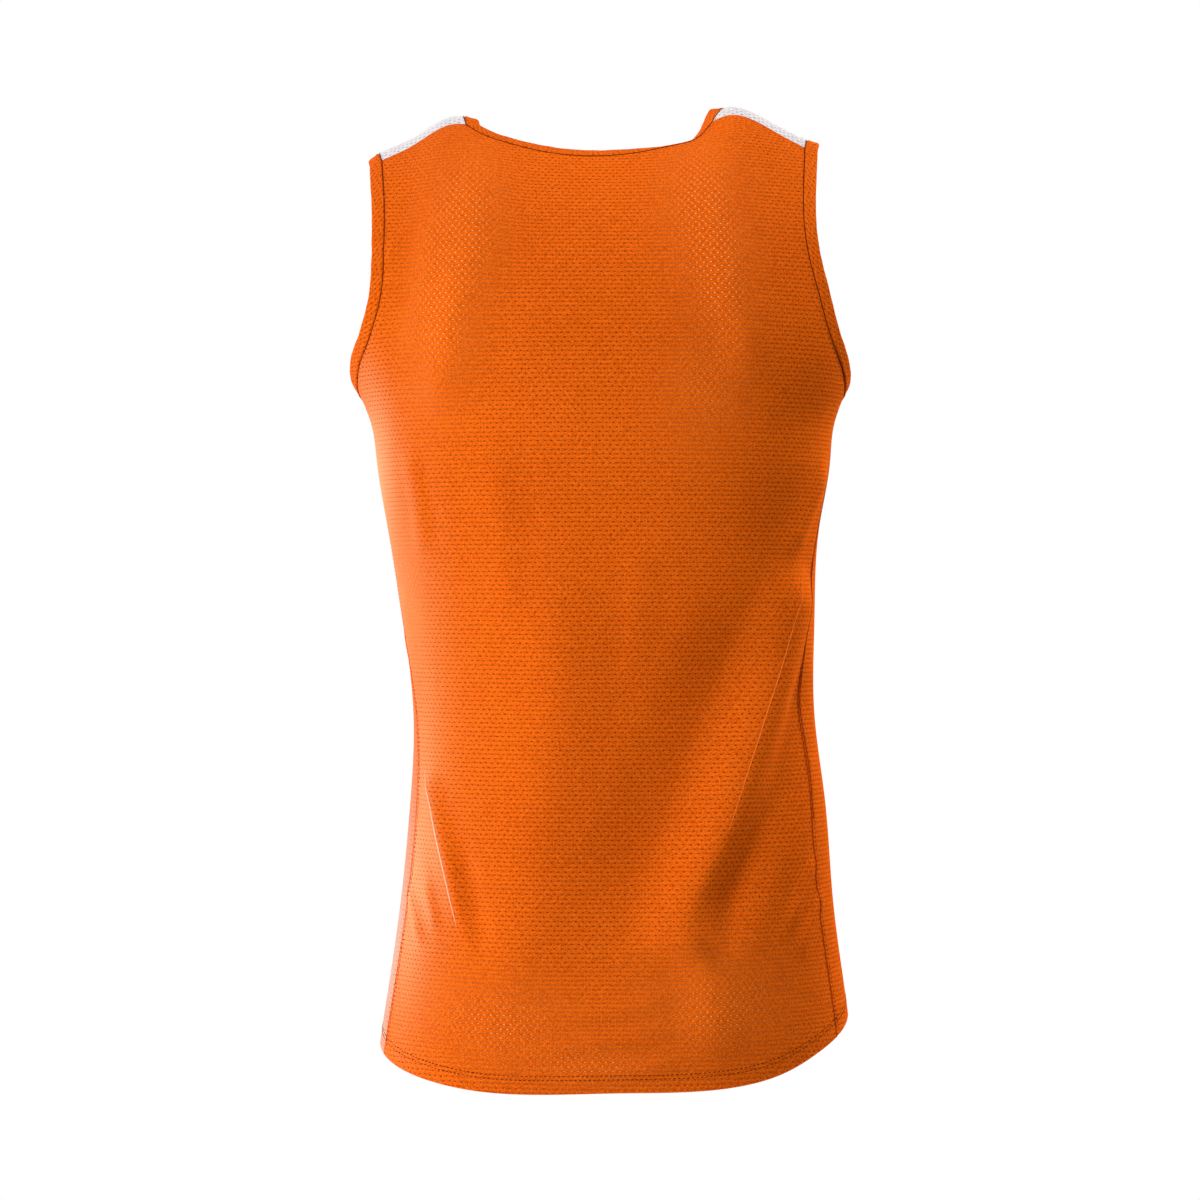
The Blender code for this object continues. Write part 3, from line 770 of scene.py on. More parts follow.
    def outline(self) -> tuple[Array, Array, list[int]]:
        """The panel's edge all round.

        Returns:
            Turns, heights, and the places of the corners among them.
        """
        ahead = np.linspace(0, 1, EDGE_STEPS)
        steps = np.linspace(0, 1, SHOULDER_STEPS)
        (left_neck, right_neck), (left_arm, right_arm) = self.necks, self.arms
        stretches = [
            self.hem_edge(np.linspace(0, 1, HEM_STEPS)),
            self.side_edge(Side.RIGHT, ahead),
            self.arm_edge(Side.RIGHT, (1 - np.cos(math.pi * ahead)) / 2),
            self.top_edge(right_arm + (right_neck - right_arm) * steps),
            self.top_edge(np.linspace(left_neck, right_neck, EDGE_STEPS)[::-1]),
            self.top_edge(left_neck + (left_arm - left_neck) * steps),
            self.arm_edge(Side.LEFT, (1 + np.cos(math.pi * ahead)) / 2),
            self.side_edge(Side.LEFT, ahead[::-1]),
        ]
        corners = np.cumsum([0] + [len(turn) - 1 for turn, _ in stretches[:-1]])
        turns = np.concatenate([turn[:-1] for turn, _ in stretches])
        heights = np.concatenate([height[:-1] for _, height in stretches])
        return turns, heights, corners.tolist()


# ------------------------------------------------------------------- flat cloth maps


# The levels at which a panel is measured, how far round from its middle and in how
# many steps, how far its flat grid reaches across, down and up, and the steps in which
# one arc is measured
LEVELS = np.arange(-0.738, 0.0165, 0.003)
SWING = 2.1
SWING_STEPS = 337
FLAT_ACROSS = 0.275
FLAT_DOWN = -0.54
FLAT_UP = 0.29
ARC_STEPS = 201

# The mesh cells: how many of them a chunk of work tests at once, the margin round the
# outline, the rounds of clearing, and the share of a whole cell below which one goes
CHUNK = 4000
MARGIN = 2
CLEARING_ROUNDS = 3
POOR_SHARE = 0.06


class FlatMap:
    """Flat cloth coordinates of one panel: across from its middle, up from the arms.

    Across follows the level sections and up follows the cloth, so that the mesh keeps
    its size where the cloth bends over the shoulders.
    """

    def __init__(self, cut: Cut, step: tuple[float, float]) -> None:
        """Tabulate the panel's turns and heights over a flat grid.

        Args:
            cut: The panel's edges and face.
            step: The flat grid's steps across and up.
        """
        self.cut = cut
        self.step = np.array(step)
        skin = cut.skin
        turns = cut.middle + np.linspace(-SWING, SWING, SWING_STEPS)
        arcs = self.lengths(skin.trunk(turns[None, :], LEVELS[:, None]))
        arcs -= arcs[:, [SWING_STEPS // 2]]
        reach = int(math.ceil(FLAT_ACROSS / step[0]))
        self.across = np.arange(-reach, reach + 1) * step[0]
        table = np.array([np.interp(self.across, arc, turns) for arc in arcs]).T
        self.ups = self.lengths(skin.trunk(table, LEVELS[None, :]))
        for i, up in enumerate(self.ups):
            up -= np.interp(UNDERARM_HEIGHT, LEVELS, up)
            below = LEVELS < UNDERARM_HEIGHT
            self.ups[i] = np.where(below, LEVELS - UNDERARM_HEIGHT, up)
        low = int(math.floor(FLAT_DOWN / step[1]))
        self.rows = np.arange(low, int(math.ceil(FLAT_UP / step[1])) + 1) * step[1]
        self.heights = np.array([np.interp(self.rows, up, LEVELS) for up in self.ups])
        self.turns = np.array([np.interp(height, LEVELS, turn)
                               for height, turn in zip(self.heights, table)])

    def lengths(self, points: Array) -> Array:
        """The length along each line of points up to each of them."""
        steps = np.linalg.norm(np.diff(points, axis=1), axis=-1)
        return np.concatenate([np.zeros((len(points), 1)), steps.cumsum(1)], axis=1)

    def blend(self, table: Array, column_at: Array, row_at: Array) -> Array:
        """A table's value between its columns and rows.

        Args:
            table: The table.
            column_at: Columns, with fractions.
            row_at: Rows, with fractions.

        Returns:
            The values.
        """
        i = np.clip(column_at.astype(int), 0, table.shape[0] - 2)
        j = np.clip(row_at.astype(int), 0, table.shape[1] - 2)
        u, v = column_at - i, row_at - j
        low = table[i, j] * (1 - u) + table[i + 1, j] * u
        high = table[i, j + 1] * (1 - u) + table[i + 1, j + 1] * u
        return low * (1 - v) + high * v

    def place(self, flat: Array) -> tuple[Array, Array]:
        """Turns and heights of flat points.

        Args:
            flat: The flat points.

        Returns:
            Turns and heights.
        """
        column_at = (flat[:, 0] - self.across[0]) / self.step[0]
        row_at = (flat[:, 1] - self.rows[0]) / self.step[1]
        return (self.blend(self.turns, column_at, row_at),
                self.blend(self.heights, column_at, row_at))

    def flatten(self, turns: Array, heights: Array) -> Array:
        """Flat points of turns and heights.

        Args:
            turns: The turns.
            heights: The heights.

        Returns:
            The flat points.
        """
        part = np.linspace(0, 1, ARC_STEPS)
        sweep = self.cut.middle + (turns[:, None] - self.cut.middle) * part
        levels = np.repeat(heights[:, None], ARC_STEPS, axis=1)
        points = self.cut.skin.trunk(sweep, levels)
        arc = np.linalg.norm(np.diff(points, axis=1), axis=-1).sum(-1)
        across = np.sign(turns - self.cut.middle) * arc
        column_at = (across - self.across[0]) / self.step[0]
        row_at = (heights - LEVELS[0]) / (LEVELS[1] - LEVELS[0])
        return np.stack([across, self.blend(self.ups, column_at, row_at)], axis=-1)


def contains(outline: Array, points: Array) -> Array:
    """Whether each flat point lies within the outline.

    Args:
        outline: Its points, in order.
        points: Flat points.

    Returns:
        True for each point within.
    """
    first, last = outline, np.roll(outline, -1, axis=0)
    rise = last[:, 1] - first[:, 1]
    rise = np.where(np.abs(rise) < LEAST_REACH, LEAST_REACH, rise)
    found = []
    for part in np.array_split(points, max(1, len(points) // CHUNK)):
        x, y = part[:, :1], part[:, 1:]
        crosses = (first[:, 1] > y) != (last[:, 1] > y)
        at = first[:, 0] + (y - first[:, 1]) * (last[:, 0] - first[:, 0]) / rise
        found.append((crosses & (x < at)).sum(1) % 2 == 1)
    return np.concatenate(found)


def nearest_on(outline: Array, points: Array) -> Array:
    """The nearest point of the outline to each flat point.

    Args:
        outline: Its points, in order.
        points: Flat points.

    Returns:
        The nearest points.
    """
    runs = np.roll(outline, -1, axis=0) - outline
    lengths = (runs ** 2).sum(-1) + LEAST_REACH ** 2
    away = points[:, None, :] - outline
    along = np.clip((away * runs).sum(-1) / lengths, 0, 1)
    feet = outline + along[..., None] * runs
    near = np.linalg.norm(points[:, None, :] - feet, axis=-1).argmin(-1)
    return np.take_along_axis(feet, near[:, None, None], 1)[:, 0]


@dataclass
class Lattice:
    """The mesh cloth's staggered cells, one hole to a cell, within a flat outline."""

    pitch: float
    row: float
    outline: Array
    corners: Sequence[int]
    flat: Array = field(init=False)
    cells: Array = field(init=False)
    rim: Array = field(init=False)

    def __post_init__(self) -> None:
        """Choose the cells and draw their outer corners onto the outline."""
        step = np.array([self.pitch / 2, self.row])
        low = np.floor(self.outline.min(0) / step).astype(int) - MARGIN
        high = np.ceil(self.outline.max(0) / step).astype(int) + MARGIN
        i, j = np.meshgrid(np.arange(low[0], high[0]), np.arange(low[1], high[1]),
                           indexing="ij")
        even = (i + j) % 2 == 0
        cells = np.stack([i[even], j[even]], axis=-1)
        cells = cells[contains(self.outline, cells * step)]
        for _ in range(CLEARING_ROUNDS):
            self.lay(cells, step)
            poor = self.sizes() < POOR_SHARE * self.pitch * self.row
            if not poor.any():
                break
            cells = cells[~poor]
        log.info("lattice of %d cells, %d poor", len(self.cells), int(poor.sum()))

    def lay(self, cells: Array, step: Array) -> None:
        """Number the cells' corners and snap those on the rim to the outline.

        Args:
            cells: Column and row of each cell.
            step: Their flat steps.
        """
        around = np.array([(1, 0), (0, 1), (-1, 0), (0, -1)])
        corners = (cells[:, None, :] + around).reshape(-1, 2)
        places, numbers = np.unique(corners, axis=0, return_inverse=True)
        self.cells = numbers.reshape(-1, 4)
        self.flat = places * step
        edges = np.concatenate([self.cells[:, [k, (k + 1) % 4]] for k in range(4)])
        known = {(a, b) for a, b in edges.tolist()}
        self.rim = np.array([(a, b) for a, b in edges.tolist() if (b, a) not in known])
        loose = np.unique(self.rim)
        self.flat[loose] = nearest_on(self.outline, self.flat[loose])
        for corner in self.corners:
            gap = np.linalg.norm(self.flat[loose] - self.outline[corner], axis=-1)
            self.flat[loose[gap.argmin()]] = self.outline[corner]

    def sizes(self) -> Array:
        """The flat size of each cell, below zero where it is turned over.

        Returns:
            The sizes.
        """
        a, b, c, d = (self.flat[self.cells[:, k]] for k in range(4))
        first, second = c - a, d - b
        return (first[:, 0] * second[:, 1] - first[:, 1] * second[:, 0]) / 2


def outline_size(outline: Array) -> float:
    """The flat area within an outline."""
    (x, y), (after_x, after_y) = outline.T, np.roll(outline, -1, axis=0).T
    return abs(float((x * after_y - y * after_x).sum()) / 2)


# -------------------------------------------------------------------------- finishes


class Nodes:
    """A small helper that adds and links the nodes of one tree."""

    def __init__(self, tree: bpy.types.NodeTree) -> None:
        """Keep the tree to build in."""
        self.tree = tree

    def add(self, kind: str, inputs: dict | None = None,
            **settings: object) -> bpy.types.Node:
        """Add a node.

        Args:
            kind: The node's type.
            inputs: A value, or a socket to link, for each input by name or place.
            settings: The node's own properties.

        Returns:
            The node.
        """
        node = self.tree.nodes.new(kind)
        for name, value in settings.items():
            setattr(node, name, value)
        for key, value in (inputs or {}).items():
            if isinstance(value, Socket):
                self.tree.links.new(value, node.inputs[key])
            else:
                node.inputs[key].default_value = value
        return node

    def maths(self, operation: str, *values: object) -> Socket:
        """The result of a number operation on values or sockets."""
        node = self.add("ShaderNodeMath", dict(enumerate(values)), operation=operation)
        return node.outputs[0]

    def vector(self, operation: str, *values: object) -> Socket:
        """The result of a vector operation on values or sockets.

        Args:
            operation: Its name.
            values: What it takes, in order.

        Returns:
            The result.
        """
        node = self.add("ShaderNodeVectorMath", dict(enumerate(values)),
                        operation=operation)
        single = operation in ("LENGTH", "DOT_PRODUCT")
        return node.outputs["Value" if single else "Vector"]

    def noise(self, place: Socket, scale: float, detail: float) -> Socket:
        """Soft noise at a place, from 0 to 1."""
        return self.add("ShaderNodeTexNoise", {"Vector": place, "Scale": scale,
                        "Detail": detail}).outputs["Fac"]

    def ramp(self, value: Socket, low: float, high: float) -> Socket:
        """0 where a value is at its low mark and 1 at its high one."""
        return self.add("ShaderNodeMapRange", {"Value": value, "From Min": low,
                        "From Max": high}).outputs["Result"]

    def scaled(self, way: Socket, size: Socket) -> Socket:
        """A vector times a number."""
        return self.add("ShaderNodeVectorMath", {0: way, "Scale": size},
                        operation="SCALE").outputs[0]

    def painted(self, geometry: Socket, material: Socket,
                selection: object = True) -> Socket:
        """A geometry with a material set on its selected faces."""
        inputs = {"Geometry": geometry, "Selection": selection, "Material": material}
        return self.add("GeometryNodeSetMaterial", inputs).outputs[0]

    def finish(self, shader: bpy.types.Node, colour: Socket,
               height: Socket, strength: float, relief: float) -> None:
        """Give a shader its colour and its fine relief.

        Args:
            shader: The material's shader.
            colour: Its colour.
            height: The height of its relief, counted in reliefs.
            strength: How strongly the relief shows.
            relief: The depth of the relief, in metres.
        """
        bump = self.add("ShaderNodeBump", {"Height": height, "Strength": strength,
                        "Distance": relief})
        self.tree.links.new(colour, shader.inputs["Base Color"])
        self.tree.links.new(bump.outputs["Normal"], shader.inputs["Normal"])


# The places of the share and the two colours among a colour mix's inputs, and of its
# result among its outputs
MIX_INPUTS = (0, 6, 7)
MIX_RESULT = 2


def mixed(nodes: Nodes, share: object, first: object, second: object) -> Socket:
    """A colour between two, by a share from 0 to 1.

    Args:
        nodes: The material's nodes.
        share: The share, a value or a socket.
        first: The colour at 0.
        second: The colour at 1.

    Returns:
        The colour.
    """
    node = nodes.add("ShaderNodeMix", dict(zip(MIX_INPUTS, (share, first, second))),
                     data_type="RGBA")
    return node.outputs[MIX_RESULT]


def opaque(colour: Colour) -> tuple[float, float, float, float]:
    """A colour with its full alpha."""
    return (*colour, 1.0)


def new_finish(name: str, roughness: float,
               specular: float) -> tuple[Material, Nodes, bpy.types.Node]:
    """Start a material.

    Args:
        name: Its name.
        roughness: How dull it is.
        specular: How strongly it shines.

    Returns:
        The material, the helper for its nodes, and its shader.
    """
    material = bpy.data.materials.new(name)
    material.use_nodes = True
    shader = material.node_tree.nodes["Principled BSDF"]
    shader.inputs["Roughness"].default_value = roughness
    shader.inputs["Specular IOR Level"].default_value = specular
    return material, Nodes(material.node_tree), shader


@dataclass(frozen=True)
class Mesh:
    """The mesh cloth's sizes: how far its holes are apart and how large they are."""

    pitch: float
    row: float
    width: float
    height: float
    depth: float


@dataclass(frozen=True)
class Knit:
    """Knitted polyester: mottled colour, and ribs of yarn between the holes.

    It takes a painted sheen, pale towards grazing angles, where the piece's attribute "lit"
    says so. Where holes is given, the cloth's small holes are drawn in painted shade in
    flat cloth coordinates, turned by bias; elsewhere they are in the shape itself.
    """

    name: str
    colour: Colour
    shade: Colour
    pale: Colour
    row: float
    roughness: float = 0.60
    specular: float = 0.02
    broad_scale: float = 7.0
    yarn_scale: float = 850.0
    broad_share: float = 0.24
    yarn_share: float = 0.76
    band_share: float = 0.055
    tones: tuple[float, float] = (0.38, 0.62)
    rim: tuple[float, float] = (0.12, 0.50)
    rib: float = 0.0016
    rib_slope: float = 1.56
    yarn_height: float = 1.2
    hole_height: float = 3.0
    relief: float = 0.00025
    bump: float = 0.5
    holes: Mesh | None = None
    hole: Colour | None = None
    hole_edge: tuple[float, float] = (1.15, 0.85)
    bias: float = 0.0

    def build(self) -> Material:
        """Make the material.

        Returns:
            The material.
        """
        material, nodes, shader = new_finish(self.name, self.roughness, self.specular)
        place = nodes.add("ShaderNodeTexCoord").outputs["Object"]
        flat = nodes.add("ShaderNodeUVMap", uv_map="flat").outputs["UV"]
        turned = nodes.add("ShaderNodeMapping", {"Vector": flat,
                           "Rotation": (0.0, 0.0, self.bias)}).outputs["Vector"]
        broad = nodes.noise(place, self.broad_scale, 3.0)
        yarn = nodes.noise(place, self.yarn_scale, 1.0)
        colour = self.mottled(nodes, turned, broad, yarn)
        # Painted sheen: the pale colour mixed in where "lit" is set, more towards grazing
        # angles
        lit = nodes.add("ShaderNodeAttribute", attribute_name="lit").outputs["Fac"]
        facing = nodes.add("ShaderNodeLayerWeight", {"Blend": 0.5}).outputs["Facing"]
        rim = nodes.ramp(facing, *self.rim)
        colour = mixed(nodes, nodes.maths("MULTIPLY", lit, rim), colour, opaque(self.pale))
        ribs = []
        for slope in (1.0, -1.0):
            line = nodes.vector("DOT_PRODUCT", turned, (slope, self.rib_slope, 0.0))
            ribs.append(nodes.maths("SINE", nodes.maths("MULTIPLY", line,
                                                        math.pi / self.rib)))
        height = nodes.maths("ADD", nodes.maths("MAXIMUM", *ribs),
                             nodes.maths("MULTIPLY", yarn, self.yarn_height))
        # Drawn holes, painted in the shade that shows through them
        if self.holes:
            hole = self.drawn_holes(nodes, turned)
            colour = mixed(nodes, hole, colour, opaque(self.hole))
            sunk = nodes.maths("MULTIPLY", hole, self.hole_height)
            height = nodes.maths("SUBTRACT", height, sunk)
        nodes.finish(shader, colour, height, self.bump, self.relief)
        return material

    def mottled(self, nodes: Nodes, flat: Socket, broad: Socket, yarn: Socket) -> Socket:
        """The cloth's colour: patches, single yarns, and a band along each row of holes.

        Args:
            nodes: The material's nodes.
            flat: Flat cloth coordinates.
            broad: Noise of the size of patches.
            yarn: Noise of the size of yarns.

        Returns:
            The colour.
        """
        upward = nodes.vector("DOT_PRODUCT", flat, (0.0, 2 * math.pi / self.row, 0.0))
        band = nodes.maths("COSINE", upward)
        tone = nodes.maths("ADD", nodes.maths("MULTIPLY", broad, self.broad_share),
                           nodes.maths("MULTIPLY", yarn, self.yarn_share))
        tone = nodes.maths("SUBTRACT", tone,
                           nodes.maths("MULTIPLY", band, self.band_share))
        return mixed(nodes, nodes.ramp(tone, *self.tones), opaque(self.shade),
                     opaque(self.colour))

    def drawn_holes(self, nodes: Nodes, flat: Socket) -> Socket:
        """Staggered holes drawn in flat cloth coordinates.

        Args:
            nodes: The material's nodes.
            flat: Flat cloth coordinates.

        Returns:
            1 in a hole and 0 beside it.
        """
        cell = (self.holes.pitch, 2 * self.holes.row, 1.0)
        half = (self.holes.width / 2, self.holes.height / 2, 1.0)
        spread = tuple(a / b for a, b in zip(cell[:2], half[:2])) + (0.0,)
        scaled = nodes.vector("DIVIDE", flat, cell)
        gaps = []
        for shift in ((0.5, 0.5, 0.0), (0.0, 0.0, 0.0)):
            part = nodes.vector("FRACTION", nodes.vector("ADD", scaled, shift))
            middle = nodes.vector("SUBTRACT", part, (0.5, 0.5, 0.0))
            gaps.append(nodes.vector("LENGTH", nodes.vector("MULTIPLY", middle, spread)))
        return nodes.ramp(nodes.maths("MINIMUM", *gaps), *self.hole_edge)


@dataclass(frozen=True)
class HoleShadeAndLight:
    """Painted shade in the mesh's holes, and painted light where light comes through."""

    name: str
    shade: Colour
    pale: Colour
    roughness: float = 0.9
    speck_scale: float = 260.0
    speck_floor: float = 0.5

    def build(self) -> Material:
        """Make the material, with its painted light read from the piece's own attribute.

        Returns:
            The material.
        """
        material, nodes, shader = new_finish(self.name, self.roughness, 0.0)
        place = nodes.add("ShaderNodeTexCoord").outputs["Object"]
        speck = nodes.noise(place, self.speck_scale, 1.0)
        glow = nodes.add("ShaderNodeAttribute", attribute_name="glow").outputs["Fac"]
        share = nodes.maths("MULTIPLY", glow, nodes.maths("ADD", speck, self.speck_floor))
        colour = mixed(nodes, nodes.maths("MINIMUM", share, 1.0), opaque(self.shade),
                       opaque(self.pale))
        nodes.tree.links.new(colour, shader.inputs["Base Color"])
        return material


@dataclass(frozen=True)
class Thread:
    """Sewing thread: twisted strands seen as fine slanting lines."""

    name: str
    colour: Colour
    dark: Colour
    roughness: float = 0.9
    specular: float = 0.05
    twist_scale: float = 420.0
    unevenness: float = 1.5
    bump: float = 0.4
    relief: float = 0.0001

    def build(self) -> Material:
        """Make the material.

        Returns:
            The material.
        """
        material, nodes, shader = new_finish(self.name, self.roughness, self.specular)
        place = nodes.add("ShaderNodeTexCoord").outputs["Object"]
        twist = nodes.add("ShaderNodeTexWave",
                          {"Vector": place, "Scale": self.twist_scale,
                           "Distortion": self.unevenness}, bands_direction="DIAGONAL")
        strands = twist.outputs["Fac"]
        colour = mixed(nodes, strands, opaque(self.dark), opaque(self.colour))
        nodes.finish(shader, colour, strands, self.bump, self.relief)
        return material


# Colours: the knit and its darker yarns, the painted shade that shows in its holes, and
# the painted light where light comes through a hole or a painted sheen falls on its rim
ORANGE = (1.000, 0.168, 0.0065)
ORANGE_SHADE = (0.690, 0.095, 0.0026)
ORANGE_HOLE_SHADE = (0.230, 0.021, 0.001)
BINDING_HOLE_SHADE = (0.420, 0.048, 0.002)
ORANGE_LIGHT_THROUGH = (1.000, 0.470, 0.170)
ORANGE_SHEEN = (1.000, 0.560, 0.300)
ORANGE_GLARE = (0.620, 0.395, 0.300)
WHITE = (0.860, 0.810, 0.820)
WHITE_SHADE = (0.800, 0.750, 0.765)
WHITE_HOLE_SHADE = (0.360, 0.300, 0.330)

BACK_MESH = Mesh(pitch=0.00498, row=0.00325, width=0.0018, height=0.0010, depth=0.00045)
FRONT_MESH = Mesh(pitch=0.00530, row=0.00347, width=0.0018, height=0.0010, depth=0.00045)
YOKE_MESH = Mesh(pitch=0.0064, row=0.0036, width=0.0024, height=0.0020, depth=0.00045)
DRAWN_MESH = Mesh(pitch=0.00493, row=0.00316, width=0.0015, height=0.0010, depth=0.0)
BINDING_BIAS = math.radians(38)


class Finishes:
    """Every material of the garment, made once."""

    def __init__(self) -> None:
        """Build the materials."""
        orange = Knit("orange_mesh_outer", ORANGE, ORANGE_SHADE, ORANGE_SHEEN, BACK_MESH.row)
        white = Knit("white_mesh_outer", WHITE, WHITE_SHADE, WHITE, YOKE_MESH.row)
        drawn = replace(orange, name="orange_mesh_inner", row=DRAWN_MESH.row,
                        holes=DRAWN_MESH, hole=ORANGE_HOLE_SHADE)
        self.orange = orange.build()
        self.orange_front = replace(orange, name="orange_mesh_front", pale=ORANGE_GLARE,
                                    row=FRONT_MESH.row).build()
        self.orange_inner = drawn.build()
        self.orange_hole_shade_and_light = HoleShadeAndLight("orange_mesh_hole", ORANGE_HOLE_SHADE, ORANGE_LIGHT_THROUGH).build()
        self.white = white.build()
        self.white_inner = replace(white, name="white_mesh_inner", row=DRAWN_MESH.row,
                                   holes=DRAWN_MESH, hole=WHITE_HOLE_SHADE).build()
        self.white_hole_shade = HoleShadeAndLight("white_mesh_hole", WHITE_HOLE_SHADE, WHITE).build()
        self.binding = replace(drawn, name="orange_binding_mesh", hole=BINDING_HOLE_SHADE,
                               bias=BINDING_BIAS).build()
        self.thread = Thread("orange_thread", (0.760, 0.130, 0.014),
                             (0.560, 0.080, 0.008), roughness=0.55).build()
        self.seam = Thread("seam_shadow_thread", (0.130, 0.014, 0.001),
                           (0.070, 0.007, 0.001)).build()
        self.ridge = Thread("seam_ridge_yarn", (0.850, 0.200, 0.050),
                            (0.700, 0.140, 0.030)).build()
        self.side_seam = Thread("side_seam_thread", (0.420, 0.050, 0.003),
                                (0.300, 0.032, 0.002)).build()
        # The creases' finishes are painted highlights along their crests
        self.bright_crease = Thread("bright_crease_yarn", (1.000, 0.240, 0.030),
                                    (0.960, 0.190, 0.020)).build()
        self.pale_crease = Thread("pale_crease_yarn", (1.000, 0.700, 0.500),
                                  (1.000, 0.580, 0.380)).build()


# ------------------------------------------------------------------ mesh and node work


def mesh_object(name: str, points: Array, faces: Sequence[Sequence[int]],
                edges: Sequence[tuple[int, int]] = ()) -> Thing:
    """Make an object from points and faces and link it.

    Args:
        name: The object's name.
        points: Its points.
        faces: Its faces.
        edges: Loose edges, for a path.

    Returns:
        The object, at the origin.
    """
    mesh = bpy.data.meshes.new(name)
    mesh.from_pydata([tuple(point) for point in points], list(edges), list(faces))
    mesh.update()
    thing = bpy.data.objects.new(name, mesh)
    bpy.context.scene.collection.objects.link(thing)
    return thing


def smooth(thing: Thing, angle: float = math.radians(50)) -> None:
    """Shade an object smooth, with its sharper edges kept."""
    thing.data.shade_smooth()
    thing.data.set_sharp_from_angle(angle=angle)


def flat_map(thing: Thing, flat: Array) -> None:
    """Store flat cloth coordinates, one for each point, as the piece's UV map.

    Args:
        thing: The piece.
        flat: Its coordinates.
    """
    mesh = thing.data
    corner_points = np.empty(len(mesh.loops), dtype=np.int32)
    mesh.loops.foreach_get("vertex_index", corner_points)
    layer = mesh.uv_layers.new(name="flat")
    layer.data.foreach_set("uv", flat[corner_points][:, :2].astype(np.float32).ravel())


def finished(thing: Thing) -> Thing:
    """The object with its modifiers turned into its plain mesh.

    Args:
        thing: The object.

    Returns:
        The same object.
    """
    graph = bpy.context.evaluated_depsgraph_get()
    mesh = bpy.data.meshes.new_from_object(thing.evaluated_get(graph),
                                           preserve_all_data_layers=True, depsgraph=graph)
    thing.modifiers.clear()
    old = thing.data
    thing.data = mesh
    bpy.data.meshes.remove(old)
    mesh.name = thing.name
    return thing


class Tree:
    """A Geometry Nodes tree with named inputs."""

    def __init__(self, name: str, sizes: dict[str, tuple[str, object]]) -> None:
        """Make the tree's group sockets.

        Args:
            name: The tree's name.
            sizes: Each named input's socket type and first value.
        """
        self.tree = bpy.data.node_groups.new(name, "GeometryNodeTree")
        face = self.tree.interface
        face.new_socket("Geometry", in_out="INPUT", socket_type="NodeSocketGeometry")
        for label, (kind, value) in sizes.items():
            socket = face.new_socket(label, in_out="INPUT", socket_type=kind)
            if value is not None:
                socket.default_value = value
        face.new_socket("Geometry", in_out="OUTPUT", socket_type="NodeSocketGeometry")
        self.nodes = Nodes(self.tree)
        self.start = self.nodes.add("NodeGroupInput").outputs
        self.end = self.nodes.add("NodeGroupOutput").inputs

    def close(self, geometry: Socket) -> None:
        """Link the tree's result."""
        self.tree.links.new(geometry, self.end[0])

    def apply(self, thing: Thing, values: dict[str, object]) -> Thing:
        """Run the tree on an object and keep the result as its mesh.

        Args:
            thing: The object.
            values: A value for each named input, set by the socket's identifier.

        Returns:
            The object.
        """
        known = {item.name: item.identifier for item in self.tree.interface.items_tree
                 if item.in_out == "INPUT"}
        modifier = thing.modifiers.new(self.tree.name, "NODES")
        modifier.node_group = self.tree
        for label, value in values.items():
            modifier[known[label]] = value
        return finished(thing)


def punch_tree() -> Tree:
    """The tree that sinks one hole into each outer cell of the mesh cloth.

    Returns:
        The tree.
    """
    tree = Tree("mesh_holes", {
        "Hole Width": ("NodeSocketFloat", 0.4),
        "Hole Height": ("NodeSocketFloat", 0.2),
        "Hole Depth": ("NodeSocketFloat", 0.0004),
        "Cloth": ("NodeSocketMaterial", None),
        "Inner Side": ("NodeSocketMaterial", None),
        "Hole Floor": ("NodeSocketMaterial", None),
    })
    nodes, start = tree.nodes, tree.start

    def named(name: str, kind: str) -> Socket:
        """One of the base mesh's own attributes."""
        return nodes.add("GeometryNodeInputNamedAttribute", {"Name": name},
                         data_type=kind).outputs["Attribute"]

    outer = named("outer", "BOOLEAN")
    place = nodes.add("GeometryNodeInputPosition").outputs[0]
    held = nodes.tree.nodes.new("GeometryNodeCaptureAttribute")
    held.domain = "FACE"
    wanted = {"centre": place, "away": nodes.add("GeometryNodeInputNormal").outputs[0],
              "across": named("across", "FLOAT_VECTOR"),
              "middle": named("flat", "FLOAT_VECTOR")}
    for label, socket in wanted.items():
        held.capture_items.new("VECTOR", label)
        nodes.tree.links.new(socket, held.inputs[label])
    nodes.tree.links.new(start["Geometry"], held.inputs["Geometry"])
    kept = held.outputs
    inset = nodes.add("GeometryNodeExtrudeMesh", {"Mesh": kept["Geometry"],
                      "Selection": outer, "Offset Scale": 0.0, "Individual": True},
                      mode="FACES")
    top = inset.outputs["Top"]
    away, across = kept["away"], kept["across"]
    up = nodes.vector("CROSS_PRODUCT", away, across)
    gap = nodes.vector("SUBTRACT", place, kept["centre"])
    moved = kept["centre"]
    for axis, label in ((across, "Hole Width"), (up, "Hole Height")):
        reach = nodes.maths("MULTIPLY", nodes.vector("DOT_PRODUCT", gap, axis),
                            start[label])
        moved = nodes.vector("ADD", moved, nodes.scaled(axis, reach))
    sunk = nodes.scaled(away, start["Hole Depth"])
    shaped = nodes.add("GeometryNodeSetPosition", {"Geometry": inset.outputs["Mesh"],
                       "Selection": top,
                       "Position": nodes.vector("SUBTRACT", moved, sunk)})
    spread = nodes.add("ShaderNodeCombineXYZ", {"X": start["Hole Width"],
                       "Y": start["Hole Height"]}).outputs[0]
    off = nodes.vector("SUBTRACT", named("flat", "FLOAT_VECTOR"), kept["middle"])
    flat = nodes.vector("ADD", kept["middle"], nodes.vector("MULTIPLY", off, spread))
    mapped = nodes.add("GeometryNodeStoreNamedAttribute",
                       {"Geometry": shaped.outputs[0], "Selection": top, "Name": "flat",
                        "Value": flat}, data_type="FLOAT_VECTOR", domain="POINT")
    whole = nodes.add("GeometryNodeRealizeInstances", {0: mapped.outputs[0]}).outputs[0]
    cloth = nodes.painted(whole, start["Cloth"])
    within = nodes.painted(cloth, start["Inner Side"], named("inner", "BOOLEAN"))
    # Each sunk hole's floor takes the painted shade of what shows through it
    tree.close(nodes.painted(within, start["Hole Floor"], top))
    return tree


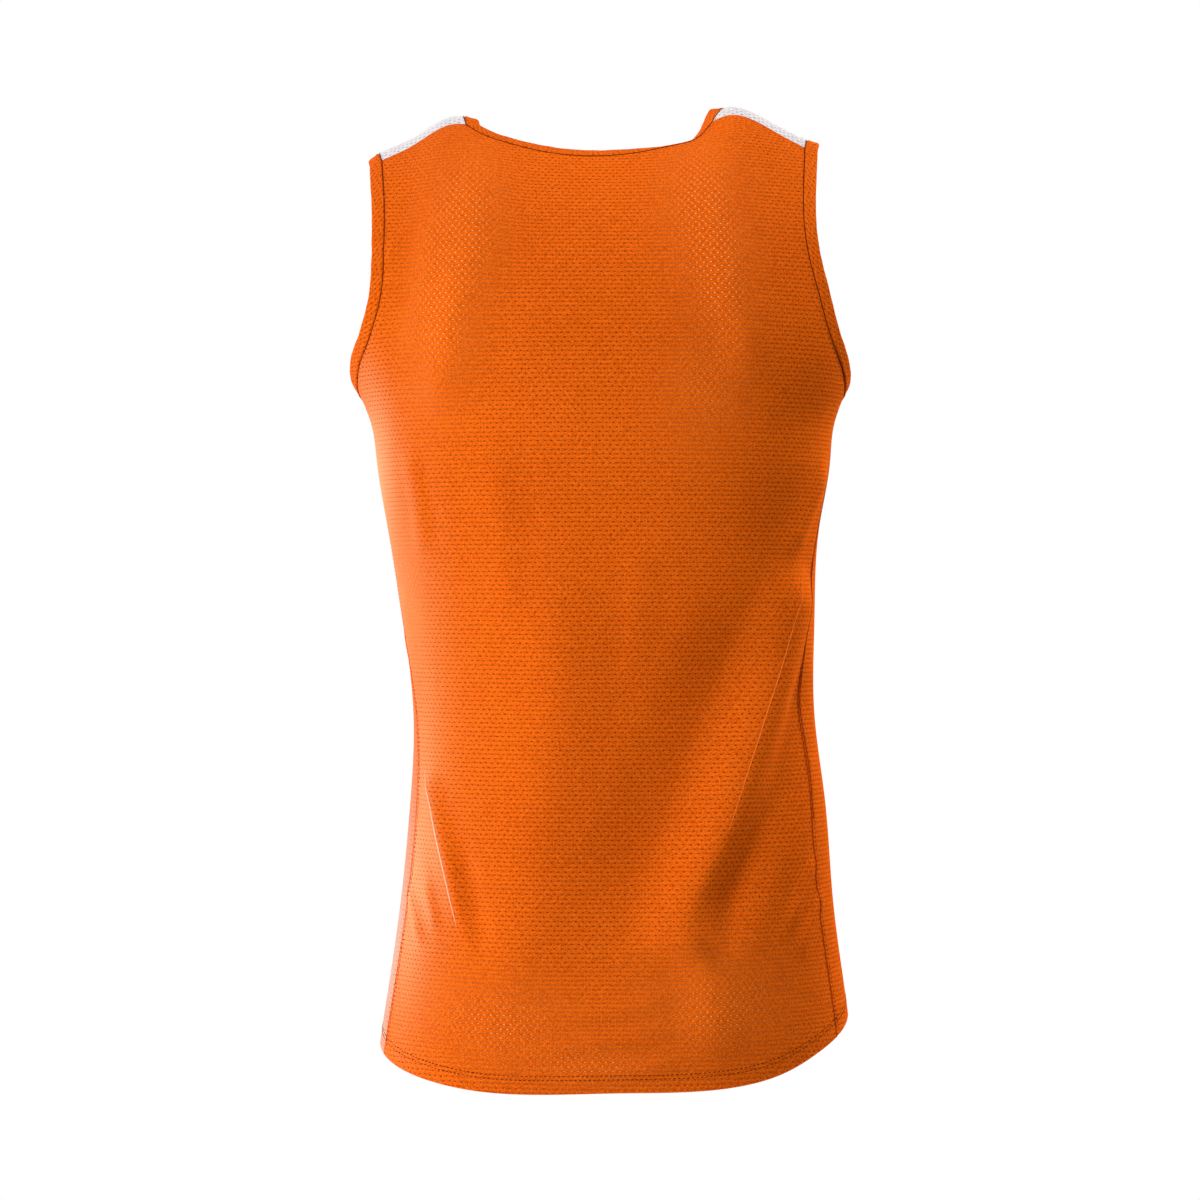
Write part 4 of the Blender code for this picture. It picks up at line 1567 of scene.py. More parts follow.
def stitch_tree() -> Tree:
    """The tree that lays stitches end to end along paths.

    Returns:
        The tree.
    """
    tree = Tree("stitches", {
        "Spacing": ("NodeSocketFloat", 0.0034),
        "Size": ("NodeSocketVector", (0.0012, 0.0003, 0.0003)),
        "Thread": ("NodeSocketMaterial", None),
    })
    nodes, start = tree.nodes, tree.start
    path = nodes.add("GeometryNodeMeshToCurve", {"Mesh": start["Geometry"]}).outputs[0]
    spaced = nodes.add("GeometryNodeResampleCurve", {"Curve": path,
                       "Length": start["Spacing"]}, mode="LENGTH")
    way = nodes.add("GeometryNodeInputTangent").outputs[0]
    turned = nodes.add("FunctionNodeAlignRotationToVector", {"Vector": way}, axis="X")
    bead = nodes.add("GeometryNodeMeshUVSphere", {"Segments": 6, "Rings": 4,
                     "Radius": 1.0}).outputs["Mesh"]
    laid = nodes.add("GeometryNodeInstanceOnPoints",
                     {"Points": spaced.outputs[0], "Instance": bead,
                      "Rotation": turned.outputs[0], "Scale": start["Size"]}).outputs[0]
    whole = nodes.add("GeometryNodeRealizeInstances", {0: laid}).outputs[0]
    smoothed = nodes.add("GeometryNodeSetShadeSmooth", {"Geometry": whole}).outputs[0]
    tree.close(nodes.painted(smoothed, start["Thread"]))
    return tree


def tube(name: str, paths: Sequence[tuple[Array, Array, Array]], looped: bool,
         sides: int = 6) -> Thing:
    """One object of round closed tubes along paths.

    Args:
        name: The object's name.
        paths: For each tube its points, the surface's normals there, and its radii.
        looped: Whether each tube closes on itself.
        sides: Sides of the round.

    Returns:
        The object.
    """
    points, faces = [], []
    for line, normals, radii in paths:
        first = len(points)
        if looped:
            way = np.roll(line, -1, axis=0) - np.roll(line, 1, axis=0)
        else:
            way = np.gradient(line, axis=0)
        across = normal_of(way, normals)
        up = normal_of(across, way)
        turns = np.arange(sides) * 2 * math.pi / sides
        for at, side, top, radius in zip(line, across, up, radii):
            for turn in turns:
                points.append(at + (side * math.cos(turn) + top * math.sin(turn)) * radius)
        count = len(line)
        for i in range(count if looped else count - 1):
            here, there = first + i * sides, first + (i + 1) % count * sides
            for j in range(sides):
                k = (j + 1) % sides
                faces.append((here + j, there + j, there + k, here + k))
        if not looped:
            faces.append(tuple(first + j for j in range(sides)))
            faces.append(tuple(first + (count - 1) * sides + j
                               for j in reversed(range(sides))))
    thing = mesh_object(name, np.array(points), faces)
    work = bmesh.new()
    work.from_mesh(thing.data)
    bmesh.ops.recalc_face_normals(work, faces=work.faces)
    work.to_mesh(thing.data)
    work.free()
    smooth(thing)
    return thing


# ------------------------------------------------------------------- the cloth pieces


@dataclass(frozen=True)
class Glow:
    """A soft patch of painted light, paler by its strength; its middle and half sizes."""

    across: float
    height: float
    width: float
    length: float
    strength: float


# Painted light where light comes through the holes, over the blades, the left side and the
# hem
BACK_HOLE_LIGHT = (
    Glow(-0.098, -0.075, 0.026, 0.055, 1.05),
    Glow(-0.116, -0.150, 0.024, 0.060, 0.90),
    Glow(0.072, -0.065, 0.026, 0.055, 1.00),
    Glow(0.090, -0.130, 0.022, 0.050, 0.85),
    Glow(0.075, -0.205, 0.030, 0.040, 0.65),
    Glow(-0.142, -0.350, 0.012, 0.040, 0.80),
    Glow(-0.075, -0.660, 0.050, 0.030, 0.85),
    Glow(0.088, -0.650, 0.050, 0.036, 0.90),
    Glow(-0.004, -0.690, 0.042, 0.013, 0.80),
)

# The painted sheen: pale rims down the sides, by the cloth's place, and how soon it
# ends where the cloth turns to the front
BACK_SHEEN_STRIPS = (
    Glow(-0.142, -0.560, 0.026, 0.090, 0.40),
    Glow(-0.125, -0.380, 0.045, 0.160, 0.14),
    Glow(-0.170, -0.270, 0.016, 0.070, 0.50),
    Glow(-0.156, -0.410, 0.010, 0.080, 0.40),
)
FRONT_SHEEN_STRIPS = (Glow(-0.160, -0.600, 0.030, 0.140, 0.95),)
STRIP_TURN = 0.35


def turned_back(normals: Array) -> Array:
    """1 where the cloth faces the back or a side, falling to 0 soon round the front."""
    return np.clip(1 - normals[:, 1] / STRIP_TURN, 0, 1)


def glow_at(points: Array, glows: Sequence[Glow]) -> Array:
    """How much painted light each point takes.

    Args:
        points: Points of the cloth.
        glows: The patches of painted light.

    Returns:
        From 0 to 1 at each point.
    """
    total = np.zeros(len(points))
    for glow in glows:
        x = (points[:, 0] - glow.across) / glow.width
        z = (points[:, 2] - glow.height) / glow.length
        total += glow.strength * np.exp(-(x ** 2 + z ** 2))
    return np.clip(total, 0, 1)


@dataclass
class ClothShell:
    """A thin closed shell of mesh cloth with a hole sunk into each outer cell."""

    name: str
    lattice: Lattice
    mesh: Mesh
    points: Array
    normals: Array
    extra: Array
    glow: Array
    lit: Array

    def build(self, punch: Tree, cloth: Material, inner: Material,
              floor: Material) -> Thing:
        """Make the shell and sink its holes.

        Args:
            punch: The tree that sinks the holes.
            cloth: The outer side's finish.
            inner: The inner side's finish.
            floor: The finish of the holes' floors, with their painted shade and light.

        Returns:
            The finished object.
        """
        count = len(self.points)
        outer = self.points + self.normals * WALL / 2
        inside = self.points - self.normals * (WALL / 2 + self.extra)[:, None]
        cells, rim = self.lattice.cells, self.lattice.rim
        under = cells[:, ::-1] + count
        walls = np.stack([rim[:, 1], rim[:, 0], rim[:, 0] + count, rim[:, 1] + count], -1)
        faces = np.concatenate([cells, under, walls])
        thing = mesh_object(self.name, np.concatenate([outer, inside]), faces.tolist())
        data = thing.data
        kinds = np.repeat([0, 1, 2], [len(cells), len(cells), len(rim)])
        for label, value in (("outer", kinds == 0), ("inner", kinds == 1)):
            data.attributes.new(label, "BOOLEAN", "FACE").data.foreach_set("value", value)
        across = np.zeros((len(faces), 3), dtype=np.float32)
        across[:len(cells)] = outer[cells[:, 0]] - outer[cells[:, 2]]
        across[:len(cells)] /= np.linalg.norm(across[:len(cells)], axis=1, keepdims=True)
        data.attributes.new("across", "FLOAT_VECTOR", "FACE").data.foreach_set(
            "vector", across.ravel())
        flat = np.zeros((2 * count, 3), dtype=np.float32)
        flat[:, :2] = np.concatenate([self.lattice.flat, self.lattice.flat])
        data.attributes.new("flat", "FLOAT_VECTOR", "POINT").data.foreach_set(
            "vector", flat.ravel())
        # The painted light through the holes, and the painted sheen, on the outer side only
        for label, value in (("glow", self.glow), ("lit", self.lit)):
            data.attributes.new(label, "FLOAT", "POINT").data.foreach_set(
                "value", np.concatenate([value, value * 0]).astype(np.float32))
        punch.apply(thing, {
            "Hole Width": self.mesh.width / self.mesh.pitch,
            "Hole Height": self.mesh.height / (2 * self.mesh.row),
            "Hole Depth": self.mesh.depth,
            "Cloth": cloth,
            "Inner Side": inner,
            "Hole Floor": floor,
        })
        data = thing.data
        stored = np.empty(3 * len(data.vertices), dtype=np.float32)
        data.attributes["flat"].data.foreach_get("vector", stored)
        for label in ("flat", "across", "outer", "inner"):
            data.attributes.remove(data.attributes[label])
        flat_map(thing, stored.reshape(-1, 3))
        smooth(thing)
        return thing


class Panel:
    """The back or the front panel."""

    def __init__(self, skin: Skin, face: Face) -> None:
        """Lay the panel's cells on its skin.

        Args:
            skin: The skin of cloth.
            face: Back or front.
        """
        self.skin = skin
        self.face = face
        self.cut = Cut(skin, face)
        self.mesh = BACK_MESH if face is Face.BACK else FRONT_MESH
        self.flat = FlatMap(self.cut, (self.mesh.pitch / 2, self.mesh.row))
        turns, heights, corners = self.cut.outline()
        self.outline = self.flat.flatten(turns, heights)
        self.lattice = Lattice(self.mesh.pitch, self.mesh.row, self.outline, corners)

    def build(self, punch: Tree, finishes: Finishes) -> Thing:
        """Make the panel's shell.

        Args:
            punch: The tree that sinks the holes.
            finishes: The materials.

        Returns:
            The finished object.
        """
        turns, heights = self.flat.place(self.lattice.flat)
        points = self.skin.folded(turns, heights)
        hem = self.skin.hem_at(turns)
        extra = np.where(heights < hem + HEM_DEPTH, HEM_EXTRA, 0.0)
        # The back's painted light through the holes, and the painted sheen strips of each
        # face
        glows, strips, outer = (), FRONT_SHEEN_STRIPS, finishes.orange_front
        if self.face is Face.BACK:
            glows, strips, outer = BACK_HOLE_LIGHT, BACK_SHEEN_STRIPS, finishes.orange
        normals = self.skin.folded_normal(turns, heights)
        lit = glow_at(points, strips) * turned_back(normals)
        shell = ClothShell(self.face.value + "_cloth", self.lattice, self.mesh, points,
                           normals, extra, glow_at(points, glows), lit)
        return shell.build(punch, outer, finishes.orange_inner, finishes.orange_hole_shade_and_light)

    def size(self) -> tuple[tuple[float, float], float]:
        """The cut's flat width and length with its hem turned down, and its area.

        Returns:
            Width and length, and the area.
        """
        width, length = np.ptp(self.outline, axis=0)
        hem = float(np.ptp(self.outline[:HEM_STEPS, 0])) * HEM_DEPTH
        return ((float(width), float(length) + HEM_DEPTH),
                outline_size(self.outline) + hem)


YOKE_STEPS = 24


class YokePiece:
    """A white shoulder yoke between the back's and the front's seams."""

    def __init__(self, skin: Skin, side: Side) -> None:
        """Lay the yoke's cells.

        Args:
            skin: The skin of cloth.
            side: Left or right.
        """
        self.skin = skin
        self.side = side
        self.low = LAP_GAP - BACK_YOKE_LAP
        self.high = FRONT_YOKE_LAP - LAP_GAP
        steps = np.linspace(0, 1, YOKE_STEPS + 1)
        laps = self.low + (self.high - self.low) * steps
        neck, arm = self.edges(laps)
        across = np.concatenate([
            np.linspace(neck[0], arm[0], YOKE_STEPS + 1)[:-1], arm[:-1],
            np.linspace(arm[-1], neck[-1], YOKE_STEPS + 1)[:-1], neck[::-1][:-1],
        ])
        around = np.concatenate([
            np.repeat(laps[0], YOKE_STEPS), laps[:-1],
            np.repeat(laps[-1], YOKE_STEPS), laps[::-1][:-1],
        ])
        self.outline = np.stack([across, around * LAP_REACH], axis=-1)
        corners = [YOKE_STEPS * corner for corner in range(4)]
        if side is Side.LEFT:
            self.outline = self.outline[::-1]
            corners = [len(around) - 1 - corner for corner in reversed(corners)]
        self.lattice = Lattice(YOKE_MESH.pitch, YOKE_MESH.row, self.outline, corners)

    def edges(self, laps: Array) -> tuple[Array, Array]:
        """Places across of the neck's and the armhole's edge at each lap.

        Args:
            laps: Laps over the ridge.

        Returns:
            The neck's and the armhole's places.
        """
        yoke = YOKES[self.side]
        part = (laps - self.low) / (self.high - self.low)
        return (through(yoke.neck_back, yoke.neck_ridge, yoke.neck_front, part),
                through(yoke.arm_back, yoke.arm_ridge, yoke.arm_front, part))

    def build(self, punch: Tree, finishes: Finishes) -> Thing:
        """Make the yoke's shell.

        Args:
            punch: The tree that sinks the holes.
            finishes: The materials.

        Returns:
            The finished object.
        """
        across, laps = self.lattice.flat[:, 0], self.lattice.flat[:, 1] / LAP_REACH
        none = np.zeros(len(laps))
        shell = ClothShell(self.side.value + "_yoke_cloth", self.lattice, YOKE_MESH,
                           self.skin.shoulder(across, laps),
                           self.skin.shoulder_normal(across, laps), none, none, none)
        return shell.build(punch, finishes.white, finishes.white_inner,
                           finishes.white_hole_shade)

    def size(self) -> tuple[tuple[float, float], float]:
        """The cut's flat width and length, and its area."""
        width, length = np.ptp(self.outline, axis=0)
        return (float(width), float(length)), outline_size(self.outline)


# ------------------------------------------------------- bindings, seams and stitches

# Points along the bindings' loops: fine ones to a coarse one, and coarse ones along
# each edge
FINENESS = 6
BACK_NECK_COLUMNS = 24
FRONT_NECK_COLUMNS = 14
CHEST_ROWS = 13
YOKE_ROWS = 7

# Points along a side seam, along a hem's row of stitches, which stops short of the side
# seams, and along a yoke seam
SIDE_STEPS = 181
HEM_ROW = np.linspace(0.006, 0.994, 261)
YOKE_SEAM_STEPS = 41


class SeamRow(NamedTuple):
    """A line beside a side seam.

    It runs from low to high, as parts of the way up from the hem to the underarm, and is
    shifted round the trunk and lifted off the cloth by lengths.
    """

    side: Side
    shift: float
    low: float
    high: float
    lift: float = 0.0


SIDE_SEAM_LINES = (
    SeamRow(Side.RIGHT, 0.0, 0.0, 0.985, 0.0001),
    SeamRow(Side.RIGHT, 0.0026, 0.34, 0.74, 0.0001),
)
SIDE_SEAM_RIDGES = (SeamRow(Side.LEFT, 0.0009, 0.0, 0.985, -0.0002),)
SIDE_STITCH_ROWS = tuple(SeamRow(side, shift, 0.016, 0.985)
                         for side in Side for shift in (0.0016, 0.0044))
HEM_STITCH_HEIGHTS = (0.0102, 0.0130)
BINDING_SEAM_LIFT = 0.0009
YOKE_SEAM_SINK = 0.0003


class Line(NamedTuple):
    """Points in a row over the cloth, with the cloth's outward normals there."""

    points: Array
    normals: Array

    def lifted(self, lift: float) -> "Line":
        """The same line, lifted off along its normals."""
        return Line(self.points + self.normals * lift, self.normals)

    def turned(self) -> "Line":
        """The same line, run backwards."""
        return Line(self.points[::-1], self.normals[::-1])


def joined(stretches: Sequence[Line]) -> Line:
    """Lines joined end to end into one loop, with one point at each join.

    Args:
        stretches: The lines, in order.

    Returns:
        The loop.
    """
    points, normals = [], []
    for i, stretch in enumerate(stretches):
        before = stretches[i - 1]
        points.append((before.points[-1] + stretch.points[0]) / 2)
        normals.append(before.normals[-1] + stretch.normals[0])
        points += list(stretch.points[1:-1])
        normals += list(stretch.normals[1:-1])
    normals = np.array(normals)
    return Line(np.array(points), normals / np.linalg.norm(normals, axis=1, keepdims=True))


class Edges:
    """Lines along the garment's edges and seams."""

    def __init__(self, skin: Skin, cuts: dict[Face, Cut]) -> None:
        """Keep the skin and each panel's cut."""
        self.skin = skin
        self.cuts = cuts

    def trunk(self, turns: Array, heights: Array) -> Line:
        """A line over the trunk."""
        return Line(self.skin.folded(turns, heights),
                    self.skin.folded_normal(turns, heights))

    def shoulder(self, across: Array, laps: Array) -> Line:
        """A line over a shoulder."""
        return Line(self.skin.shoulder(across, laps),
                    self.skin.shoulder_normal(across, laps))

    def yoke_side(self, yoke: "YokePiece", neck: bool) -> Line:
        """A yoke's edge at the neck or at the armhole, from the back to the front."""
        laps = np.linspace(yoke.low, yoke.high, YOKE_ROWS * FINENESS + 1)
        return self.shoulder(yoke.edges(laps)[0 if neck else 1], laps)

    def neckline(self, face: Face) -> Line:
        """A panel's edge at the neck, from left to right.

        Args:
            face: Back or front.

        Returns:
            The line.
        """
        cut = self.cuts[face]
        columns = BACK_NECK_COLUMNS if face is Face.BACK else FRONT_NECK_COLUMNS
        return self.trunk(*cut.top_edge(np.linspace(*cut.necks, columns * FINENESS + 1)))

    def arm_side(self, face: Face, side: Side) -> Line:
        """A panel's edge at an armhole, from the underarm up."""
        steps = np.linspace(0, math.pi, CHEST_ROWS * FINENESS + 1)
        return self.trunk(*self.cuts[face].arm_edge(side, (1 - np.cos(steps)) / 2))

    def neck(self, yokes: dict[Side, "YokePiece"]) -> Line:
        """The neck's loop, from the left yoke behind the neck and round.

        Args:
            yokes: The yokes.

        Returns:
            The loop.
        """
        left, right = (self.yoke_side(yokes[side], True) for side in Side)
        back, front = self.neckline(Face.BACK), self.neckline(Face.FRONT)
        return joined([back, right, front.turned(), left.turned()])

    def armhole(self, side: Side, yokes: dict[Side, "YokePiece"]) -> Line:
        """An armhole's loop, from the underarm up behind and round."""
        return joined([self.arm_side(Face.BACK, side), self.yoke_side(yokes[side], False),
                       self.arm_side(Face.FRONT, side).turned()])

    def beside(self, turns: Array, heights: Array, shift: float) -> Line:
        """A line up the trunk, shifted round it by a length of cloth.

        Args:
            turns: The line's turns.
            heights: Its heights.
            shift: How far it is shifted.

        Returns:
            The shifted line.
        """
        skin = self.skin
        over = skin.trunk(turns + SLIDE, heights) - skin.trunk(turns - SLIDE, heights)
        reach = np.linalg.norm(over, axis=-1) / (2 * SLIDE)
        return self.trunk(turns + shift / reach, heights)

    def side_seam(self, row: SeamRow) -> Line:
        """A line beside a side seam, over the cloth's outer face.

        Args:
            row: Where it lies.

        Returns:
            The line.
        """
        parts = np.linspace(row.low, row.high, SIDE_STEPS)
        turns, heights = self.cuts[Face.BACK].side_edge(row.side, parts)
        return self.beside(turns, heights, row.shift).lifted(WALL / 2 + row.lift)

    def hem_line(self, face: Face, up: float) -> Line:
        """A line round the hem of one panel, a height above the edge."""
        turns, heights = self.cuts[face].hem_edge(HEM_ROW)
        return self.trunk(turns, heights + up).lifted(WALL / 2)

    def yoke_seam(self, yoke: "YokePiece", behind: bool) -> Line:
        """A yoke's seam behind or in front, from the neck to the armhole.

        Args:
            yoke: The yoke.
            behind: Whether it is the seam behind.

        Returns:
            The line.
        """
        lap = yoke.low - LAP_GAP if behind else yoke.high + LAP_GAP
        neck, arm = yoke.edges(np.array([yoke.low if behind else yoke.high]))
        across = np.linspace(float(neck[0]), float(arm[0]), YOKE_SEAM_STEPS)
        line = self.shoulder(across, np.full(YOKE_SEAM_STEPS, lap))
        return line.lifted(WALL / 2 - YOKE_SEAM_SINK)


# A binding's section: how far out from the seam and how high each point lies. Its last
# three outer points are measured back from the free edge.
BAND_ROOT = ((0.0, -0.0006), (0.0006, 0.0007), (0.0014, 0.0013), (0.0024, 0.0015),
             (0.0034, 0.0012), (0.0048, 0.0012))
BAND_EDGE = ((0.0024, 0.0013), (0.0011, 0.0012), (0.0003, 0.0007), (0.0, 0.0),
             (0.0003, -0.0007), (0.0011, -0.0012))
BAND_INSIDE = ((0.0038, -0.0011), (0.0022, -0.0013), (0.0, -0.0013))
BAND_CLOSING = 0.0007

# A binding's small ripples along its loop, as length, share and start, and how far out
# from the seam they reach their full height
RIPPLES = ((0.0173, 1.0, 1.0), (0.0291, 0.7, 0.0), (0.0118, 0.6, 2.0))
RIPPLE_REACH = 0.004


@dataclass(frozen=True)
class Binding:
    """A folded strip of cloth sewn round an opening, seen from outside."""

    name: str
    width: float
    rolls: Sequence[Roll]
    sign: int
    ripple: float = 0.00010

    def build(self, loop: Line, finish: Material) -> Thing:
        """Make the binding round a loop.

        Args:
            loop: The opening's edge.
            finish: Its finish.

        Returns:
            The object, with flat cloth coordinates along and across the strip.
        """
        points, normals = loop
        count = len(points)
        tangents = np.roll(points, -1, axis=0) - np.roll(points, 1, axis=0)
        outward = self.sign * normal_of(normals, tangents)
        part = np.arange(count) / count
        lean = np.radians(curve(self.rolls, "part", "lean")(part))[:, None]
        leaning = outward * np.cos(lean) - normals * np.sin(lean)
        upright = normals * np.cos(lean) + outward * np.sin(lean)
        steps = np.linalg.norm(np.roll(points, -1, axis=0) - points, axis=1)
        along = np.concatenate([[0], steps.cumsum()])
        wave = along[:-1, None] * 2 * math.pi
        shake = sum(share * np.sin(wave / length + start)
                    for length, share, start in RIPPLES) * self.ripple / 2
        section = list(BAND_ROOT)
        section += [(self.width - back, rise) for back, rise in BAND_EDGE]
        section += list(BAND_INSIDE)
        rings = []
        for reach, rise in section:
            loose = min(1.0, reach / RIPPLE_REACH)
            rings.append(points + outward * SEAM_GAP
                         + leaning * (reach + shake * loose)
                         + upright * (rise + shake * loose * np.sign(rise)))
        across = np.array([0] + [math.dist(section[k], section[k + 1])
                                 for k in range(len(section) - 1)]).cumsum()
        sides = len(section)
        faces, maps = [], []
        across = np.append(across, across[-1] + BAND_CLOSING)
        for i in range(count):
            here, there = i * sides, (i + 1) % count * sides
            for j in range(sides):
                k = (j + 1) % sides
                face = ((here + j, i, j), (there + j, i + 1, j),
                        (there + k, i + 1, j + 1), (here + k, i, j + 1))
                face = face if self.sign > 0 else face[::-1]
                faces.append([corner[0] for corner in face])
                maps += [(along[at], across[out]) for _, at, out in face]
        thing = mesh_object(self.name, np.stack(rings, 1).reshape(-1, 3), faces)
        layer = thing.data.uv_layers.new(name="flat")
        layer.data.foreach_set("uv", np.array(maps, dtype=np.float32).ravel())
        thing.data.materials.append(finish)
        smooth(thing)
        return thing


# How soon a tapered line swells from its tips, the radius there, and the share of it
# that is sunk into the cloth
TAPER_POWER = 0.6
TIP_RADIUS = 0.00005
CREASE_SUNK = 0.35


def even_radii(line: Line, radius: float) -> tuple[Array, Array, Array]:
    """A line with the same radius all along it."""
    return line.points, line.normals, np.full(len(line.points), radius)


def tapered(line: Line, radius: float) -> tuple[Array, Array, Array]:
    """A line with a radius that runs out to a point at both its ends.

    Args:
        line: The line.
        radius: The radius at its middle.

    Returns:
        Its points, normals and radii.
    """
    part = np.linspace(0, 1, len(line.points))
    swell = np.clip(np.sin(math.pi * part), 0, 1) ** TAPER_POWER
    return line.points, line.normals, TIP_RADIUS + radius * swell


@dataclass(frozen=True)
class Seam:
    """A thin line of shade where two cloths meet, or a ridge of cloth beside it."""

    name: str
    radius: float
    looped: bool = False

    def build(self, lines: Sequence[Line], finish: Material) -> Thing:
        """Make the seam along lines.

        Args:
            lines: The lines.
            finish: Its finish.

        Returns:
            The object.
        """
        thing = tube(self.name, [even_radii(line, self.radius) for line in lines],
                     self.looped)
        thing.data.materials.append(finish)
        return thing


@dataclass(frozen=True)
class Stitching:
    """Rows of stitches over the cloth."""

    name: str
    spacing: float
    length: float
    thickness: float

    def build(self, lines: Sequence[Line], tree: Tree, finish: Material) -> Thing:
        """Lay the stitches along lines.

        Args:
            lines: The rows, on the cloth's outer face.
            tree: The tree that lays stitches along paths.
            finish: The thread.

        Returns:
            The object.
        """
        points, edges = [], []
        for line in lines:
            first, count = len(points), len(line.points)
            points += list(line.points)
            edges += [(first + i, first + i + 1) for i in range(count - 1)]
        thing = mesh_object(self.name, np.array(points), [], edges)
        size = (self.length / 2, self.thickness / 2, self.thickness / 2)
        return tree.apply(thing, {"Spacing": self.spacing, "Size": size, "Thread": finish})


@dataclass(frozen=True)
class Crease:
    """A sharp pressed crease: a fine ridge of cloth that runs out at both ends."""

    name: str
    radius: float
    run: tuple[tuple[float, float], ...]

    def build(self, edges: Edges, finish: Material) -> Thing:
        """Make the crease over the back.

        Args:
            edges: The garment's lines.
            finish: Its finish.

        Returns:
            The object.
        """
        across, height = smooth_run(self.run, CREASE_STEPS)
        turns = edges.skin.turn_at(across, height, Face.BACK)
        line = edges.trunk(turns, height).lifted(WALL / 2 - self.radius * CREASE_SUNK)
        thing = tube(self.name, [tapered(line, self.radius)], looped=False)
        thing.data.materials.append(finish)
        return thing


CREASES = (
    Crease("left_crease", 0.00045,
           ((-0.1290, -0.4800), (-0.1258, -0.4905), (-0.1227, -0.5013), (-0.1203, -0.5128),
            (-0.1181, -0.5244), (-0.1157, -0.5359), (-0.1132, -0.5473), (-0.1106, -0.5588),
            (-0.1079, -0.5702), (-0.1055, -0.5816), (-0.1032, -0.5931))),
    Crease("right_crease", 0.00045,
           ((0.1540, -0.3187), (0.1390, -0.3585), (0.1284, -0.3981), (0.1192, -0.4289),
            (0.1099, -0.4590), (0.1023, -0.4836), (0.0940, -0.5101), (0.0891, -0.5258))),
)


# ----------------------------------------------------------------- studio and camera

# The lens and its sensor in millimetres, where the camera stands, and the floor's
# height, well below the hem
FOCAL = 111.405
SENSOR = 36.0
CAMERA_PLACE = (0.0, -2.8, -0.3544)
FLOOR_HEIGHT = -0.86


@dataclass(frozen=True)
class Softbox:
    """A square soft light aimed at the garment's middle.

    Its bearing is counted in degrees from the camera, to the right as seen there.
    """

    name: str
    bearing: float
    height: float
    power: float
    distance: float = 2.6
    size: float = 1.3
    aim: Vector = Vector((0.0, 0.0, -0.35))
    glossy: bool = True

    def build(self) -> Thing:
        """Make the light.

        Returns:
            The light.
        """
        data = bpy.data.lights.new(self.name, "AREA")
        data.shape = "SQUARE"
        data.size = self.size
        data.energy = self.power
        light = bpy.data.objects.new(self.name, data)
        bpy.context.scene.collection.objects.link(light)
        bearing, height = math.radians(self.bearing), math.radians(self.height)
        way = Vector((math.cos(height) * math.sin(bearing),
                      -math.cos(height) * math.cos(bearing), math.sin(height)))
        light.location = self.aim + self.distance * way
        light.rotation_euler = way.to_track_quat("Z", "Y").to_euler()
        light.visible_glossy = self.glossy
        return light


SOFTBOXES = (
    Softbox("key_light", -22, 10, 30.0),
    Softbox("low_key_light", -60, -30, 19.0),
    Softbox("left_light", -85, -30, 29.0),
    Softbox("top_light", 90, 68, 26.0),
    Softbox("high_light", 0, 45, 16.0),
    Softbox("right_rim_light", 125, 10, 76.0, glossy=False),
    Softbox("left_rim_light", -122, 10, 46.0),
    Softbox("high_left_rim_light", -125, 50, 14.0),
)


@dataclass(frozen=True)
class Studio:
    """The white room: backdrop, floor, lights and camera."""

    backdrop_radius: float = 12.0
    floor_radius: float = 1.3
    ambient: float = 0.12
    backdrop_glow: float = 1.0

    def build(self) -> None:
        """Set the room round the garment."""
        self.backdrop()
        self.floor()
        self.world()
        for box in SOFTBOXES:
            box.build()
        self.camera()

    def backdrop(self) -> None:
        """A plain white backdrop all round, seen by the camera alone."""
        work = bmesh.new()
        bmesh.ops.create_icosphere(work, subdivisions=4, radius=self.backdrop_radius)
        bmesh.ops.reverse_faces(work, faces=work.faces)
        self.white_piece("backdrop", work)

    def white_piece(self, name: str, work: bmesh.types.BMesh) -> None:
        """Make a piece of the stage, plain white to the camera, that lights nothing.

        Args:
            name: The piece's name.
            work: Its shape, freed here.
        """
        thing = mesh_object(name, (), ())
        work.to_mesh(thing.data)
        work.free()
        material = bpy.data.materials.new(name + "_white")
        material.use_nodes = True
        tree = material.node_tree
        tree.nodes.remove(tree.nodes["Principled BSDF"])
        glow = tree.nodes.new("ShaderNodeEmission")
        glow.inputs["Strength"].default_value = self.backdrop_glow
        tree.links.new(glow.outputs[0], tree.nodes["Material Output"].inputs["Surface"])
        thing.data.materials.append(material)
        thing.visible_diffuse = False
        thing.visible_glossy = False
        thing.visible_transmission = False
        thing.visible_shadow = False

    def floor(self) -> None:
        """A pale round floor well below the hem."""
        work = bmesh.new()
        bmesh.ops.create_circle(work, cap_ends=True, segments=96, radius=self.floor_radius)
        bmesh.ops.translate(work, verts=work.verts, vec=(0, 0, FLOOR_HEIGHT))
        self.white_piece("floor", work)

    def world(self) -> None:
        """Even soft light from all round."""
        world = bpy.data.worlds.new("room")
        bpy.context.scene.world = world
        world.use_nodes = True
        back = world.node_tree.nodes["Background"]
        back.inputs["Color"].default_value = (1.0, 1.0, 1.0, 1.0)
        back.inputs["Strength"].default_value = self.ambient

    def camera(self) -> None:
        """The camera, level and straight behind the garment."""
        data = bpy.data.cameras.new("camera")
        data.lens = FOCAL
        data.sensor_width = SENSOR
        camera = bpy.data.objects.new("camera", data)
        bpy.context.scene.collection.objects.link(camera)
        camera.location = CAMERA_PLACE
        camera.rotation_euler = (math.radians(90), 0.0, 0.0)
        bpy.context.scene.camera = camera
        bpy.context.scene.view_settings.view_transform = "Standard"


# ----------------------------------------------------------------------- the garment

# Each binding and the node that it stands for, from the neck and then left to right
BINDINGS = {
    "neck_band": Binding("neck_binding", 0.0115, NECK_ROLLS, 1),
    "left_armhole_band": Binding("left_armhole_binding", 0.0102, LEFT_ARMHOLE_ROLLS, 1),
    "right_armhole_band": Binding("right_armhole_binding", 0.0102, RIGHT_ARMHOLE_ROLLS, -1),
}


